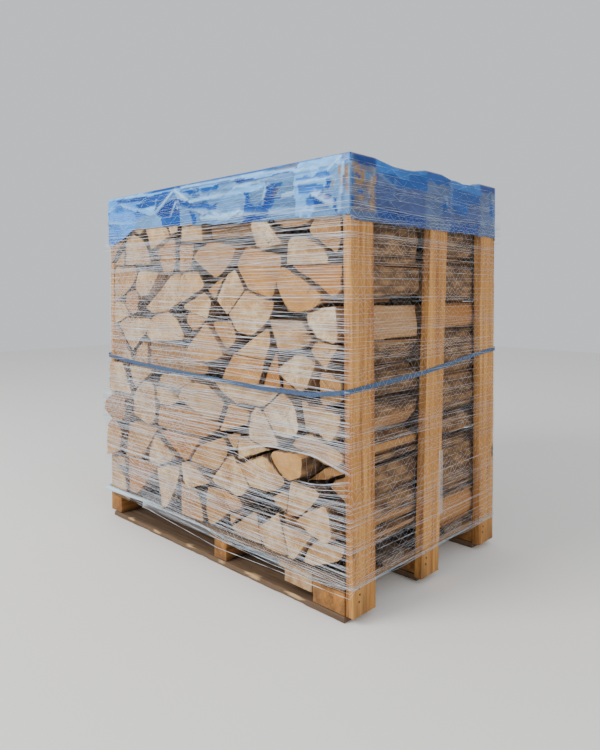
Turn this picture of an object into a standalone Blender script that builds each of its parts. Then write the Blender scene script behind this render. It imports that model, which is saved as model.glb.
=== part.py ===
"""A pallet of split firewood.

A 1.2 x 0.8 m wooden pallet carries two rows of split logs, six upright posts hold
the two ends of the stack, and three battens lie on the posts. A blue film covers
the top, a strap goes round the middle and a stretch net is wound round the whole.

Frame: metres, +Z up, origin on the ground under the middle of the pallet. X runs
along the long side that shows the log ends, and the front of the stack faces -Y.
"""

from math import pi

import bmesh
import bpy
from mathutils import Matrix, Vector
from mathutils.geometry import convex_hull_2d

MM = 0.001
GAP = 0.3                       # clearance between pieces that touch

# Pallet, in millimetres
PALLET_LENGTH = 1200
PALLET_WIDTH = 800
BOTTOM_BOARD_THICK = 20
BLOCK_TOP = 82
CROSS_BOARD_TOP = 100
DECK_TOP = 120
SKID_WIDTH = 100
SKIDS = {"front": -350, "middle": 0, "back": 350}
BLOCKS = {"left": (-600, -545), "middle": (40, 102), "right": (480, 600)}
CROSS_BOARDS = {"left": (-600, -482), "middle": (15, 130), "right": (480, 600), "extra": (343, 479.7)}
DECK_BOARD_WIDTH = 110
DECK_BOARD_CENTRES = (-345, -172, 0, 172, 345)
OFFCUT = {"x": (370, 479.7), "depth": 70, "bottom": 45}

# Posts and battens
POST_WIDTH = 100
POST_THICK = 28
POST_BOTTOM = 18
POST_TOP = 1237
POSTS_RIGHT = {"front": (-345, -362), "middle": (-17, 34), "back": (345, 345)}
BATTEN_THICK = 28
EDGE_ROUND = 3

# Firewood. Each log is how far its sawn end stands proud of the pallet, and the
# outline of that end as (x, z). Every log is 33 cm long.
LOG_LENGTH = 330
LOG_SWELL = 5                   # the bark and splinters outside the drawn outline
STAGGER = 0.13                  # no two logs of a course end in quite the same plane
FLAT_CORNER = 2.5               # a corner that bulges less is left out
TOUCH = 0.25                    # logs fused in one course run into each other by twice this
COURSES = {
    "course_1_left": [
        (12, [(-600, 1014), (-582, 1014), (-510, 1084), (-510, 1149), (-600, 1149)]),
        (7, [(-580, 1002), (-502, 1002), (-502, 1065)]),
        (10, [(-498, 1002), (-500, 1059), (-492, 1111), (-431, 1119), (-386, 1104), (-352, 1069),
              (-330, 1029), (-328, 1002)]),
        (15, [(-344, 1129), (-304, 1052), (-228, 1077), (-178, 1097), (-223, 1140), (-243, 1179),
              (-342, 1179)]),
        (8, [(-283, 1047), (-228, 1074), (-188, 1089), (-166, 1079), (-165, 1004), (-183, 970),
             (-241, 965), (-268, 1024)]),
        (11, [(-133, 1074), (8, 1067), (1, 1104), (-24, 1129), (-58, 1194), (-131, 1197)]),
        (9, [(-600, 1152), (-510, 1152), (-488, 1116), (-440, 1122), (-438, 1190), (-455, 1232),
             (-600, 1230)]),
        (13, [(-434, 1122), (-388, 1108), (-348, 1132), (-345, 1184), (-352, 1228), (-430, 1234)]),
        (5, [(-345, 1184), (-240, 1184), (-232, 1230), (-345, 1234)]),
        (14, [(-238, 1180), (-222, 1140), (-178, 1100), (-136, 1110), (-135, 1195), (-150, 1232),
              (-230, 1228)]),
        (4, [(-130, 1200), (-60, 1198), (-45, 1160), (-10, 1130), (33, 1145), (30, 1215), (-20, 1234),
             (-120, 1230)]),
    ],
    "course_1_right": [
        (-25, [(-12, 1075), (215, 1071), (228, 1100), (190, 1119), (-8, 1122)]),
        (14, [(231, 1104), (248, 1129), (303, 1127), (324, 1097), (357, 1064), (369, 1041), (312, 1032),
              (263, 1025), (253, 1049)]),
        (9, [(166, 999), (203, 1042), (215, 1045), (357, 1011), (359, 965), (342, 920), (317, 878),
             (297, 878), (243, 897), (204, 903), (184, 940), (154, 970)]),
        (12, [(390, 980), (390, 1004), (395, 1047), (416, 1057), (469, 1054), (520, 1027), (547, 995),
              (547, 977)]),
        (6, [(471, 1072), (494, 1099), (511, 1129), (587, 1124), (589, 1060), (580, 1006), (563, 1004),
             (521, 1031), (477, 1059)]),
        (10, [(327, 1104), (372, 1085), (451, 1087), (481, 1102), (461, 1159), (342, 1159)]),
        (12.5, [(0, 1127), (35, 1122), (120, 1120), (148, 1150), (140, 1225), (60, 1234), (35, 1225)]),
        (7.5, [(150, 1120), (235, 1106), (245, 1130), (246, 1180), (235, 1232), (150, 1230)]),
        (11.5, [(250, 1132), (305, 1130), (324, 1104), (328, 1160), (318, 1230), (250, 1234)]),
        (8.5, [(330, 1164), (470, 1164), (475, 1225), (400, 1235), (325, 1228)]),
        (15, [(472, 1160), (486, 1106), (508, 1132), (598, 1128), (600, 1190), (590, 1230), (480, 1232)]),
    ],
    "course_2_left": [
        (13, [(-151, 1059), (-69, 1057), (-69, 1024), (-84, 990), (-84, 968), (-151, 968)]),
        (12, [(-367, 839), (-327, 821), (-213, 829), (-163, 850), (-124, 870), (-134, 940), (-144, 962),
              (-201, 958)]),
        (16, [(-131, 945), (-104, 965), (-24, 968), (10, 930), (10, 912), (-14, 897), (-84, 867),
              (-121, 870)]),
        (9, [(-112, 838), (-109, 858), (-74, 870), (1, 900), (37, 870), (33, 850), (15, 806), (-69, 828)]),
        (11, [(-94, 825), (-69, 828), (15, 806), (5, 798), (-24, 771), (-64, 766), (-98, 791)]),
        (14, [(-94, 691), (-74, 723), (-19, 773), (8, 798), (30, 791), (50, 756), (110, 703), (75, 679),
              (15, 664), (-54, 670)]),
        (9, [(37, 796), (142, 801), (154, 776), (154, 736), (114, 713), (80, 723), (55, 756)]),
    ],
    "course_2_right": [
        (16, [(-50, 1012), (-26, 1037), (15, 1054), (50, 1061), (95, 1057), (139, 1047), (169, 1031),
              (144, 992), (100, 952), (60, 945), (0, 977), (-32, 995)]),
        (5, [(10, 905), (60, 932), (110, 952), (70, 900), (60, 872), (40, 875)]),
        (13, [(60, 870), (70, 905), (115, 955), (144, 968), (169, 962), (184, 938), (202, 905), (117, 823)]),
        (10, [(202, 903), (245, 897), (298, 875), (330, 868), (332, 848), (317, 816), (278, 781), (245, 764),
              (213, 763), (154, 778), (144, 801), (119, 823)]),
    ],
    "course_3_left": [
        (11, [(-600, 865), (-565, 868), (-510, 890), (-461, 925), (-433, 955), (-433, 975), (-451, 998),
              (-600, 1000)]),
        (14, [(-389, 975), (-273, 970), (-261, 958), (-287, 930), (-330, 884), (-374, 877), (-413, 905),
              (-413, 935)]),
        (8, [(-495, 890), (-416, 905), (-408, 870), (-421, 819), (-461, 816), (-505, 841)]),
        (13, [(-600, 776), (-563, 776), (-537, 791), (-481, 804), (-510, 830), (-530, 858), (-600, 862)]),
        (10, [(-560, 774), (-530, 790), (-480, 799), (-334, 798), (-339, 766), (-381, 726), (-431, 687),
              (-456, 670), (-492, 700), (-530, 741)]),
        (8, [(-598, 771), (-565, 769), (-490, 692), (-525, 640), (-598, 628)]),
        (15, [(-327, 766), (-307, 801), (-282, 813), (-198, 829), (-148, 806), (-131, 781), (-109, 756),
              (-109, 729), (-213, 726), (-300, 714), (-334, 740)]),
        (-5, [(-356, 704), (-290, 719), (-115, 699), (-55, 668), (-15, 645), (-30, 616), (-350, 612)]),
        (6, [(-450, 625), (-451, 655), (-429, 687), (-407, 707), (-362, 707), (-360, 624)]),
        (12, [(-524, 628), (-524, 662), (-492, 692), (-459, 668), (-452, 626)]),
    ],
    "course_3_right": [
        (15, [(364, 965), (384, 970), (431, 950), (471, 930), (525, 890), (518, 865), (491, 848), (436, 838),
              (396, 845), (372, 878), (352, 912), (354, 942)]),
        (7, [(401, 972), (590, 970), (590, 900), (558, 877), (511, 912), (461, 945)]),
        (12, [(464, 838), (506, 850), (572, 855), (576, 816), (581, 786), (580, 761), (558, 754), (503, 767),
              (483, 783), (466, 820)]),
        (12, [(154, 704), (235, 753), (293, 786), (317, 784), (322, 746), (307, 702), (296, 692)]),
        (7, [(92, 613), (114, 657), (152, 702), (297, 692), (281, 652), (262, 612)]),
        (16, [(324, 816), (459, 814), (473, 791), (501, 766), (481, 743), (446, 746), (406, 728), (362, 723),
              (352, 746), (334, 781)]),
        (10.5, [(501, 766), (555, 754), (585, 753), (570, 736), (555, 701), (537, 677), (525, 692),
                (501, 704), (481, 726), (479, 743)]),
        (13, [(352, 677), (382, 699), (411, 713), (461, 716), (498, 701), (481, 667), (461, 624), (441, 605),
              (416, 614), (367, 639), (342, 657)]),
        (5, [(266, 611), (352, 611), (340, 660), (338, 705), (322, 721), (304, 692), (283, 652)]),
        (4, [(354, 611), (408, 611), (354, 645)]),
        (11, [(515, 670), (555, 674), (593, 652), (595, 602), (530, 583), (515, 593)]),
    ],
    "course_4_left": [
        (22, [(-598, 571), (-590, 617), (-483, 620), (-443, 566), (-429, 512), (-463, 503), (-585, 504),
              (-600, 536)]),
        (11, [(-496, 618), (-332, 616), (-312, 595), (-354, 581), (-399, 553), (-439, 515), (-461, 563)]),
        (14, [(-433, 504), (-396, 553), (-367, 566), (-300, 566), (-290, 548), (-283, 459), (-292, 419),
              (-332, 412), (-377, 424), (-431, 434)]),
        (9, [(-288, 563), (-273, 593), (-203, 606), (-113, 603), (-59, 575), (-123, 548), (-233, 558)]),
        (12, [(-283, 553), (-233, 555), (-128, 528), (-153, 510), (-193, 494), (-258, 496), (-281, 513)]),
        (45, [(-600, 438), (-579, 477), (-536, 498), (-483, 506), (-440, 494), (-436, 450), (-440, 424),
              (-463, 404), (-541, 410)]),
        (6, [(-273, 484), (-133, 503), (-44, 474), (75, 474), (65, 449), (-4, 410), (-223, 406),
             (-283, 412)]),
    ],
    "course_4_right": [
        (16, [(-104, 595), (35, 588), (95, 558), (115, 543), (100, 503), (85, 484), (-14, 474), (-94, 503),
              (-143, 518), (-118, 548)]),
        (7, [(40, 602), (352, 602), (312, 565), (295, 551), (154, 543), (105, 558)]),
        (10, [(73, 446), (115, 452), (218, 484), (225, 528), (179, 536), (119, 543), (103, 508)]),
        (13, [(223, 459), (231, 523), (251, 543), (290, 545), (312, 501), (365, 455), (352, 442), (293, 431),
              (263, 431), (228, 444)]),
        (15, [(296, 528), (298, 548), (342, 581), (367, 601), (384, 603), (416, 580), (441, 548), (441, 503),
              (431, 484), (382, 474), (337, 484), (311, 503)]),
        (8, [(425, 581), (461, 580), (486, 538), (510, 508), (461, 501), (444, 503), (440, 548)]),
        (12, [(466, 575), (530, 579), (598, 563), (598, 540), (562, 503), (547, 477), (515, 503),
              (489, 538)]),
        (38, [(353, 419), (366, 434), (437, 440), (470, 438), (476, 420), (470, 380), (437, 363), (403, 369),
              (374, 393)]),
        (10, [(405, 450), (431, 482), (466, 499), (510, 503), (545, 478), (599, 476), (599, 432), (530, 418),
              (481, 440)]),
        (-5, [(451, 357), (518, 407), (599, 430), (599, 405), (531, 375)]),
    ],
    "course_5_left": [
        (33, [(-596, 252), (-600, 320), (-596, 364), (-567, 395), (-523, 398), (-500, 385), (-485, 359),
              (-480, 337), (-482, 308), (-500, 284), (-562, 268)]),
        (12, [(-479, 393), (-432, 403), (-283, 397), (-337, 345), (-354, 325), (-377, 289), (-391, 268),
              (-505, 263), (-490, 305), (-480, 335)]),
        (11, [(-590, 228), (-548, 218), (-525, 204), (-512, 178), (-492, 165), (-492, 119), (-598, 119),
              (-598, 206)]),
        (9, [(-492, 256), (-287, 254), (-352, 206), (-413, 159), (-431, 119), (-481, 119), (-488, 206)]),
        (14, [(-600, 246), (-495, 256), (-490, 221), (-545, 218), (-580, 228)]),
    ],
    "course_5_right": [
        (13, [(-84, 313), (-82, 355), (-44, 377), (15, 398), (70, 420), (115, 424), (113, 370), (80, 330),
              (55, 308), (-24, 312)]),
        (7, [(75, 424), (124, 441), (169, 444), (164, 414), (144, 395), (119, 375)]),
        (11, [(39, 278), (77, 323), (119, 371), (159, 375), (174, 357), (225, 296), (203, 268), (166, 249),
              (115, 258), (77, 263)]),
        (14, [(174, 355), (218, 378), (273, 405), (312, 400), (357, 370), (387, 350), (384, 335), (352, 308),
              (303, 296), (258, 296), (228, 302), (194, 335)]),
        (8, [(166, 439), (223, 444), (258, 432), (303, 429), (313, 420), (278, 407), (218, 377), (169, 370)]),
    ],
    "course_6_left": [
        (15, [(-322, 271), (-327, 296), (-310, 340), (-278, 378), (-235, 365), (-168, 323), (-188, 296),
              (-218, 281), (-268, 266)]),
        (9, [(-273, 380), (-233, 400), (-44, 403), (-19, 388), (-85, 313), (-118, 308), (-163, 323),
             (-238, 365)]),
        (16, [(-120, 307), (-39, 305), (-4, 289), (37, 271), (33, 256), (-19, 236), (-54, 226), (-82, 226),
              (-106, 241), (-115, 286)]),
        (16, [(-273, 258), (-215, 274), (-138, 283), (-134, 256), (-151, 211), (-216, 119), (-240, 119),
              (-256, 206)]),
        (10, [(-131, 119), (-129, 238), (-82, 228), (-54, 224), (-29, 211), (-22, 187), (-8, 150),
              (-8, 119)]),
    ],
    "course_6_right": [
        (-35, [(515, 340), (560, 318), (599, 300), (599, 398), (530, 368)]),
        (12, [(396, 345), (421, 349), (511, 340), (509, 325), (481, 291), (443, 256), (382, 246),
              (384, 276), (395, 320)]),
        (9, [(319, 283), (352, 303), (388, 299), (383, 268), (374, 248), (332, 262)]),
        (15, [(427, 243), (471, 279), (520, 308), (545, 312), (560, 291), (567, 241), (550, 205),
              (501, 216), (436, 229)]),
        (11, [(446, 126), (469, 175), (501, 207), (560, 207), (599, 202), (599, 190), (570, 157),
              (525, 136), (486, 120)]),
        (14, [(364, 207), (376, 221), (491, 212), (461, 177), (436, 147), (416, 119), (401, 119),
              (387, 157), (374, 187)]),
        (6, [(362, 244), (423, 246), (436, 236), (495, 217), (372, 222)]),
        (13, [(258, 172), (265, 185), (313, 208), (352, 246), (363, 236), (366, 202), (384, 159), (397, 132),
              (340, 119), (301, 119), (263, 152)]),
        (8, [(124, 147), (174, 172), (228, 221), (252, 206), (261, 185), (258, 152), (276, 119), (170, 119)]),
        (12.5, [(2, 246), (75, 249), (100, 221), (119, 192), (75, 167), (30, 119), (12, 119), (-7, 182),
                (-3, 221)]),
        (7, [(77, 251), (115, 258), (164, 249), (192, 231), (179, 207), (124, 197), (100, 216)]),
        (5, [(122, 184), (154, 197), (179, 206), (166, 168), (129, 149)]),
    ],
}

# Blue film over the top, and its hem along the front as (x, height)
FILM_THICK = 0.8
FILM_TOP = 1265.6
FILM_SAG = 13
FILM_HALF = (628.6, 416.5)
FILM_ROWS = (-416.5, -400, -300, -238, -175, -112, -50, 50, 112, 175, 238, 300, 400, 416.5)
FILM_COLUMNS = 12
FILM_HEM = [(-628.6, 1078), (-515, 1088), (-500, 1143), (-400, 1130), (-150, 1127), (0, 1120),
            (150, 1112), (300, 1108), (450, 1106), (560, 1100), (628.6, 1088)]
FILM_END_HEM = 1088
FILM_SKIRT_ROWS = 3

# Strap round the middle, as (x, y, height of its centre line)
STRAP_WIDTH = 13
STRAP_THICK = 0.8
STRAP_ROUTE = [
    (-600, -419, 645), (-400, -419, 630), (0, -419, 616), (300, -419, 608), (500, -419, 612),
    (600.5, -419, 628),
    (629, -404, 634), (629, -307, 640), (629, -60, 652), (629, 70, 665), (629, 290, 688), (629, 404, 696),
    (600.5, 419, 697), (200, 419, 690), (-200, 419, 680), (-600, 419, 670),
    (-629, 404, 668), (-629, 0, 656), (-629, -404, 646),
]

# Stretch net, wound as one rising strand
NET_STRAND = 2
NET_BOTTOM = 102
NET_TOP = 1250
NET_PITCH = 45
NET_CLEAR = 2.4

COLOURS = {
    "weathered_pallet_wood": (0.19, 0.10, 0.05, 0.85),
    "sawn_post_wood": (0.45, 0.23, 0.09, 0.80),
    "fresh_offcut_wood": (0.50, 0.34, 0.20, 0.80),
    "split_firewood": (0.56, 0.38, 0.22, 0.85),
    "blue_film": (0.10, 0.25, 0.60, 0.30),
    "grey_strap": (0.16, 0.24, 0.36, 0.45),
    "white_net": (0.70, 0.76, 0.84, 0.50),
}


def clear_scene():
    for thing in list(bpy.data.objects):
        bpy.data.objects.remove(thing, do_unlink=True)


def make_material(name):
    """A plain finish with the piece's colour and roughness."""
    red, green, blue, roughness = COLOURS[name]
    material = bpy.data.materials.new(name)
    material.use_nodes = True
    shader = material.node_tree.nodes["Principled BSDF"]
    shader.inputs["Base Color"].default_value = (red, green, blue, 1)
    shader.inputs["Roughness"].default_value = roughness
    shader.inputs["Metallic"].default_value = 0
    return material


def add_piece(name, mesh, finish):
    """Put a mesh in the object's collection with its own material."""
    mesh.materials.clear()
    mesh.materials.append(make_material(finish))
    piece = bpy.data.objects.new(name, mesh)
    bpy.data.collections["pallet_of_firewood"].objects.link(piece)
    return piece


def add_board(name, x, y, z, finish, lean=0, rounded=False):
    """A sawn board between the given (low, high) limits, its top end moved in Y by lean."""
    low = Vector((x[0], y[0], z[0])) * MM
    high = Vector((x[1], y[1], z[1])) * MM
    shape = bmesh.new()
    bmesh.ops.create_cube(shape, size=1)
    for vert in shape.verts:
        top = vert.co.z > 0
        vert.co = Vector(side * length for side, length in zip(vert.co, high - low))
        if top:
            vert.co.y += lean * MM
    mesh = bpy.data.meshes.new(name)
    shape.to_mesh(mesh)
    shape.free()
    board = add_piece(name, mesh, finish)
    board.location = (low + high) / 2
    if rounded:
        bevel = board.modifiers.new("worn edges", "BEVEL")
        bevel.width = EDGE_ROUND * MM
        bevel.segments = 1
    return board


def build_pallet():
    """Bottom boards, blocks, cross boards and deck boards, each laid on the one below."""
    half_length = PALLET_LENGTH / 2
    half_width = PALLET_WIDTH / 2
    for side, centre in SKIDS.items():
        skid = (centre - SKID_WIDTH / 2, centre + SKID_WIDTH / 2)
        add_board(f"pallet_bottom_board_{side}", (-half_length, half_length), skid,
                  (0, BOTTOM_BOARD_THICK), "weathered_pallet_wood")
        for place, length in BLOCKS.items():
            add_board(f"pallet_block_{side}_{place}", length, skid,
                      (BOTTOM_BOARD_THICK + GAP, BLOCK_TOP), "weathered_pallet_wood")
    for place, length in CROSS_BOARDS.items():
        finish = "fresh_offcut_wood" if place == "extra" else "weathered_pallet_wood"
        add_board(f"pallet_cross_board_{place}", length, (-half_width, half_width),
                  (BLOCK_TOP + GAP, CROSS_BOARD_TOP), finish)
    for number, centre in enumerate(DECK_BOARD_CENTRES, 1):
        add_board(f"pallet_deck_board_{number}", (-half_length, half_length),
                  (centre - DECK_BOARD_WIDTH / 2, centre + DECK_BOARD_WIDTH / 2),
                  (CROSS_BOARD_TOP + GAP, DECK_TOP), "weathered_pallet_wood")
    add_board("pallet_offcut_block", OFFCUT["x"], (-half_width, -half_width + OFFCUT["depth"]),
              (OFFCUT["bottom"], BLOCK_TOP), "fresh_offcut_wood")


def post_places():
    """Every post as (name, x limits, Y of its foot, Y of its head). The left end is
    the right end turned half round."""
    outer = PALLET_LENGTH / 2 + POST_THICK
    inner = PALLET_LENGTH / 2 + GAP
    turned = {"front": "back", "middle": "middle", "back": "front"}
    for side, (foot, head) in POSTS_RIGHT.items():
        yield f"post_right_{side}", (inner, outer), foot, head
        yield f"post_left_{turned[side]}", (-outer, -inner), -foot, -head


def build_posts_and_battens():
    for name, x, foot, head in post_places():
        add_board(name, x, (foot - POST_WIDTH / 2, foot + POST_WIDTH / 2),
                  (POST_BOTTOM, POST_TOP), "sawn_post_wood", lean=head - foot, rounded=True)
    end = PALLET_LENGTH / 2 + POST_THICK
    for side, centre in SKIDS.items():
        add_board(f"top_batten_{side}", (-end, end), (centre - POST_WIDTH / 2, centre + POST_WIDTH / 2),
                  (POST_TOP + GAP, POST_TOP + GAP + BATTEN_THICK), "sawn_post_wood", rounded=True)


def cut_by_line(outline, normal, offset):
    """The part of a convex outline that lies below offset along normal."""
    kept = []
    for here, there in zip(outline, outline[1:] + outline[:1]):
        over_here = here.dot(normal) - offset
        over_there = there.dot(normal) - offset
        if over_here <= 0:
            kept.append(here)
        if over_here * over_there < 0:
            kept.append(here.lerp(there, over_here / (over_here - over_there)))
    return kept


def without_flat_corners(outline):
    """The outline with each corner left out that bulges less than FLAT_CORNER."""
    kept = []
    for index, corner in enumerate(outline):
        before = kept[-1] if kept else outline[-1]
        chord = (outline[(index + 1) % len(outline)] - before).normalized()
        if abs(chord.cross(corner - before)) > FLAT_CORNER:
            kept.append(corner)
    return kept


def swollen(points):
    """A drawn outline as a convex one, LOG_SWELL bigger all round."""
    drawn = [Vector(point) for point in points]
    hull = [drawn[index] for index in convex_hull_2d(drawn)]
    middle = sum(hull, Vector((0, 0))) / len(hull)
    radius = sum((point - middle).length for point in hull) / len(hull)
    return [middle + (point - middle) * (1 + LOG_SWELL / radius) for point in without_flat_corners(hull)]


def line_between(first, second):
    """The line that parts two convex outlines with the least cut, as (normal, offset,
    overlap). The normal points from the first outline to the second."""
    best = None
    for outline, sign in ((first, 1), (second, -1)):
        for here, there in zip(outline, outline[1:] + outline[:1]):
            along = (there - here).normalized()
            normal = Vector((along.y, -along.x))
            if normal.dot(sum(outline, Vector((0, 0))) / len(outline) - here) > 0:
                normal.negate()
            normal *= sign
            reach = max(point.dot(normal) for point in first)
            start = min(point.dot(normal) for point in second)
            if best is None or reach - start < best[2]:
                best = (normal, (reach + start) / 2, reach - start)
    return best


def fit_logs_together():
    """Each log as (course, proud, outline), trimmed where it meets its neighbours, the deck,
    the battens and the posts. Logs of one course overlap a little, others keep a gap."""
    logs = []
    for course, members in COURSES.items():
        for number, (proud, points) in enumerate(members):
            outline = swollen(points)
            inset = GAP + STAGGER * number
            half = PALLET_LENGTH / 2 - inset
            limits = (((0, -1), -DECK_TOP - inset), ((0, 1), POST_TOP - inset), ((1, 0), half),
                      ((-1, 0), half))
            for normal, offset in limits:
                outline = cut_by_line(outline, Vector(normal), offset)
            logs.append([course, proud, outline])
    for index, first in enumerate(logs):
        for second in logs[index + 1:]:
            normal, offset, overlap = line_between(first[2], second[2])
            together = first[0] == second[0]
            slack = TOUCH if together else -GAP / 2
            if overlap > 2 * slack:
                first[2] = cut_by_line(first[2], normal, offset + slack)
                second[2] = cut_by_line(second[2], -normal, -(offset - slack))
    return logs


def log_solid(name, outline, proud):
    """A log as a straight prism: its outline drawn as a flat curve, thickened along Y."""
    curve = bpy.data.curves.new(name, "CURVE")
    curve.dimensions = "2D"
    curve.fill_mode = "BOTH"
    curve.extrude = LOG_LENGTH * MM / 2
    spline = curve.splines.new("POLY")
    spline.points.add(len(outline) - 1)
    for point, corner in zip(spline.points, outline):
        point.co = (corner.x * MM, corner.y * MM, 0, 1)
    spline.use_cyclic_u = True
    drawn = bpy.data.objects.new(name, curve)
    bpy.context.scene.collection.objects.link(drawn)
    middle = -(PALLET_WIDTH / 2 + proud - LOG_LENGTH / 2) * MM
    drawn.matrix_world = Matrix.Translation((0, middle, 0)) @ Matrix.Rotation(pi / 2, 4, "X")
    view = bpy.context.evaluated_depsgraph_get()
    mesh = bpy.data.meshes.new_from_object(drawn.evaluated_get(view))
    mesh.transform(drawn.matrix_world)
    shape = bmesh.new()
    shape.from_mesh(mesh)
    bmesh.ops.remove_doubles(shape, verts=shape.verts, dist=0.01 * MM)
    bmesh.ops.recalc_face_normals(shape, faces=shape.faces)
    shape.to_mesh(mesh)
    shape.free()
    bpy.data.objects.remove(drawn)
    return mesh


def fuse(meshes, name):
    """One solid from the touching logs of a course."""
    cutters = bpy.data.collections["cutters"]
    body = bpy.data.objects.new(name, meshes[0])
    cutters.objects.link(body)
    others = []
    for mesh in meshes[1:]:
        other = bpy.data.objects.new(name + "_log", mesh)
        other.hide_render = True
        other.display_type = "WIRE"
        cutters.objects.link(other)
        union = body.modifiers.new("join", "BOOLEAN")
        union.operation = "UNION"
        union.object = other
        others.append(other)
    view = bpy.context.evaluated_depsgraph_get()
    fused = bpy.data.meshes.new_from_object(body.evaluated_get(view))
    for used in [body] + others:
        bpy.data.objects.remove(used)
    return fused


def build_firewood():
    """The front row, and the back row as the same courses turned half round."""
    turned = {"left": "right", "right": "left"}
    logs = fit_logs_together()
    for course in COURSES:
        solids = [log_solid(course, outline, proud) for name, proud, outline in logs if name == course]
        fused = fuse(solids, course)
        add_piece(f"firewood_front_{course}", fused, "split_firewood")
        level, side = course.rsplit("_", 1)
        behind = add_piece(f"firewood_back_{level}_{turned[side]}", fused.copy(), "split_firewood")
        behind.rotation_euler.z = pi


def hem_height(x):
    """Height of the film's lower edge along the front, between the drawn points."""
    for (x0, z0), (x1, z1) in zip(FILM_HEM, FILM_HEM[1:]):
        if x <= x1:
            return z0 + (z1 - z0) * (x - x0) / (x1 - x0)
    return FILM_HEM[-1][1]


def film_height(y):
    """Height of the film across the top: flat over the battens, sagging between them."""
    if abs(y) > SKIDS["back"]:
        return FILM_TOP
    past = max(min(abs(y - centre) for centre in SKIDS.values()) - POST_WIDTH / 2, 0)
    half_span = (SKIDS["back"] - POST_WIDTH) / 2
    return FILM_TOP - FILM_SAG * (1 - (1 - past / half_span) ** 2)


def build_film():
    """A cap of thin film: a grid over the top with a skirt drawn down on all four sides."""
    half_x, half_y = FILM_HALF
    last_row = len(FILM_ROWS) - 1
    shape = bmesh.new()
    bmesh.ops.create_grid(shape, x_segments=FILM_COLUMNS, y_segments=last_row, size=1)
    for vert in shape.verts:
        y = FILM_ROWS[round((vert.co.y + 1) / 2 * last_row)]
        vert.co = Vector((vert.co.x * half_x, y, film_height(y))) * MM
    for row in range(1, FILM_SKIRT_ROWS + 1):
        rim = [edge for edge in shape.edges if edge.is_boundary]
        made = bmesh.ops.extrude_edge_only(shape, edges=rim)["geom"]
        for vert in (item for item in made if isinstance(item, bmesh.types.BMVert)):
            x, y = vert.co.x / MM, vert.co.y / MM
            along_front = half_y - abs(y) < 1
            hem = hem_height(x if y < 0 else -x) if along_front else FILM_END_HEM
            vert.co.z = (FILM_TOP + (hem - FILM_TOP) * row / FILM_SKIRT_ROWS) * MM
    bmesh.ops.recalc_face_normals(shape, faces=shape.faces)
    mesh = bpy.data.meshes.new("blue_film_cover")
    shape.to_mesh(mesh)
    shape.free()
    film = add_piece("blue_film_cover", mesh, "blue_film")
    wall = film.modifiers.new("film thickness", "SOLIDIFY")
    wall.thickness = FILM_THICK * MM
    wall.offset = 1


def build_strap():
    """A flat band on edge, closed in a loop round the stack."""
    shape = bmesh.new()
    ring = [shape.verts.new(Vector((x, y, z - STRAP_WIDTH / 2)) * MM) for x, y, z in STRAP_ROUTE]
    edges = [shape.edges.new((here, there)) for here, there in zip(ring, ring[1:] + ring[:1])]
    raised = bmesh.ops.extrude_edge_only(shape, edges=edges)["geom"]
    for vert in (item for item in raised if isinstance(item, bmesh.types.BMVert)):
        vert.co.z += STRAP_WIDTH * MM
    for face in shape.faces:
        outward = face.calc_center_median()
        outward.z = 0
        if face.normal.dot(outward) < 0:
            face.normal_flip()
    mesh = bpy.data.meshes.new("binding_strap")
    shape.to_mesh(mesh)
    shape.free()
    strap = add_piece("binding_strap", mesh, "grey_strap")
    wall = strap.modifiers.new("strap thickness", "SOLIDIFY")
    wall.thickness = STRAP_THICK * MM
    wall.offset = 1


def plan_hull(logs, low, high):
    """The outline in plan round everything between two heights, with room for the net."""
    spots = []
    for _, proud, outline in logs:
        heights = [point.y for point in outline]
        if min(heights) < high and max(heights) > low:
            ends = (min(point.x for point in outline), max(point.x for point in outline))
            end_y = -(PALLET_WIDTH / 2 + proud)
            spots += [(x, end_y) for x in ends] + [(-x, -end_y) for x in ends]
    for _, (x0, x1), foot, head in post_places():
        for height in (low, high):
            centre = foot + (head - foot) * (height - POST_BOTTOM) / (POST_TOP - POST_BOTTOM)
            spots += [(x, centre + side) for x in (x0, x1) for side in (-POST_WIDTH / 2, POST_WIDTH / 2)]
    if high > min(height for _, height in FILM_HEM):
        half_x, half_y = (side + FILM_THICK for side in FILM_HALF)
        spots += [(x, y) for x in (-half_x, half_x) for y in (-half_y, half_y)]
    heights = [z for _, _, z in STRAP_ROUTE]
    if min(heights) - STRAP_WIDTH < high and max(heights) + STRAP_WIDTH > low:
        spots += [(x, y) for x, y, _ in STRAP_ROUTE]
    roomy = [Vector((x + i, y + j)) for x, y in spots
             for i in (-NET_CLEAR, NET_CLEAR) for j in (-NET_CLEAR, NET_CLEAR)]
    return [roomy[index] for index in convex_hull_2d(roomy)]


def net_route(logs):
    """The strand's points: one turn round the stack for every NET_PITCH of height."""
    route = []
    low = NET_BOTTOM
    while low + NET_PITCH <= NET_TOP:
        hull = plan_hull(logs, low - NET_STRAND, low + NET_PITCH + NET_STRAND)
        start = max(range(len(hull)), key=lambda index: hull[index].x * 2 + hull[index].y)
        turn = hull[start:] + hull[:start]
        steps = [(there - here).length for here, there in zip(turn, turn[1:] + turn[:1])]
        gone = 0
        for corner, step in zip(turn, steps):
            route.append(Vector((corner.x, corner.y, low + NET_PITCH * gone / sum(steps))) * MM)
            gone += step
        low += NET_PITCH
    return route


def build_net(logs):
    """The net stands here as one fine strand wound round the stack."""
    curve = bpy.data.curves.new("stretch_net", "CURVE")
    curve.dimensions = "3D"
    curve.bevel_depth = NET_STRAND * MM / 2
    curve.bevel_resolution = 0
    curve.use_fill_caps = True
    route = net_route(logs)
    spline = curve.splines.new("POLY")
    spline.points.add(len(route) - 1)
    for point, place in zip(spline.points, route):
        point.co = (*place, 1)
    net = bpy.data.objects.new("stretch_net", curve)
    curve.materials.append(make_material("white_net"))
    bpy.data.collections["pallet_of_firewood"].objects.link(net)


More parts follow.
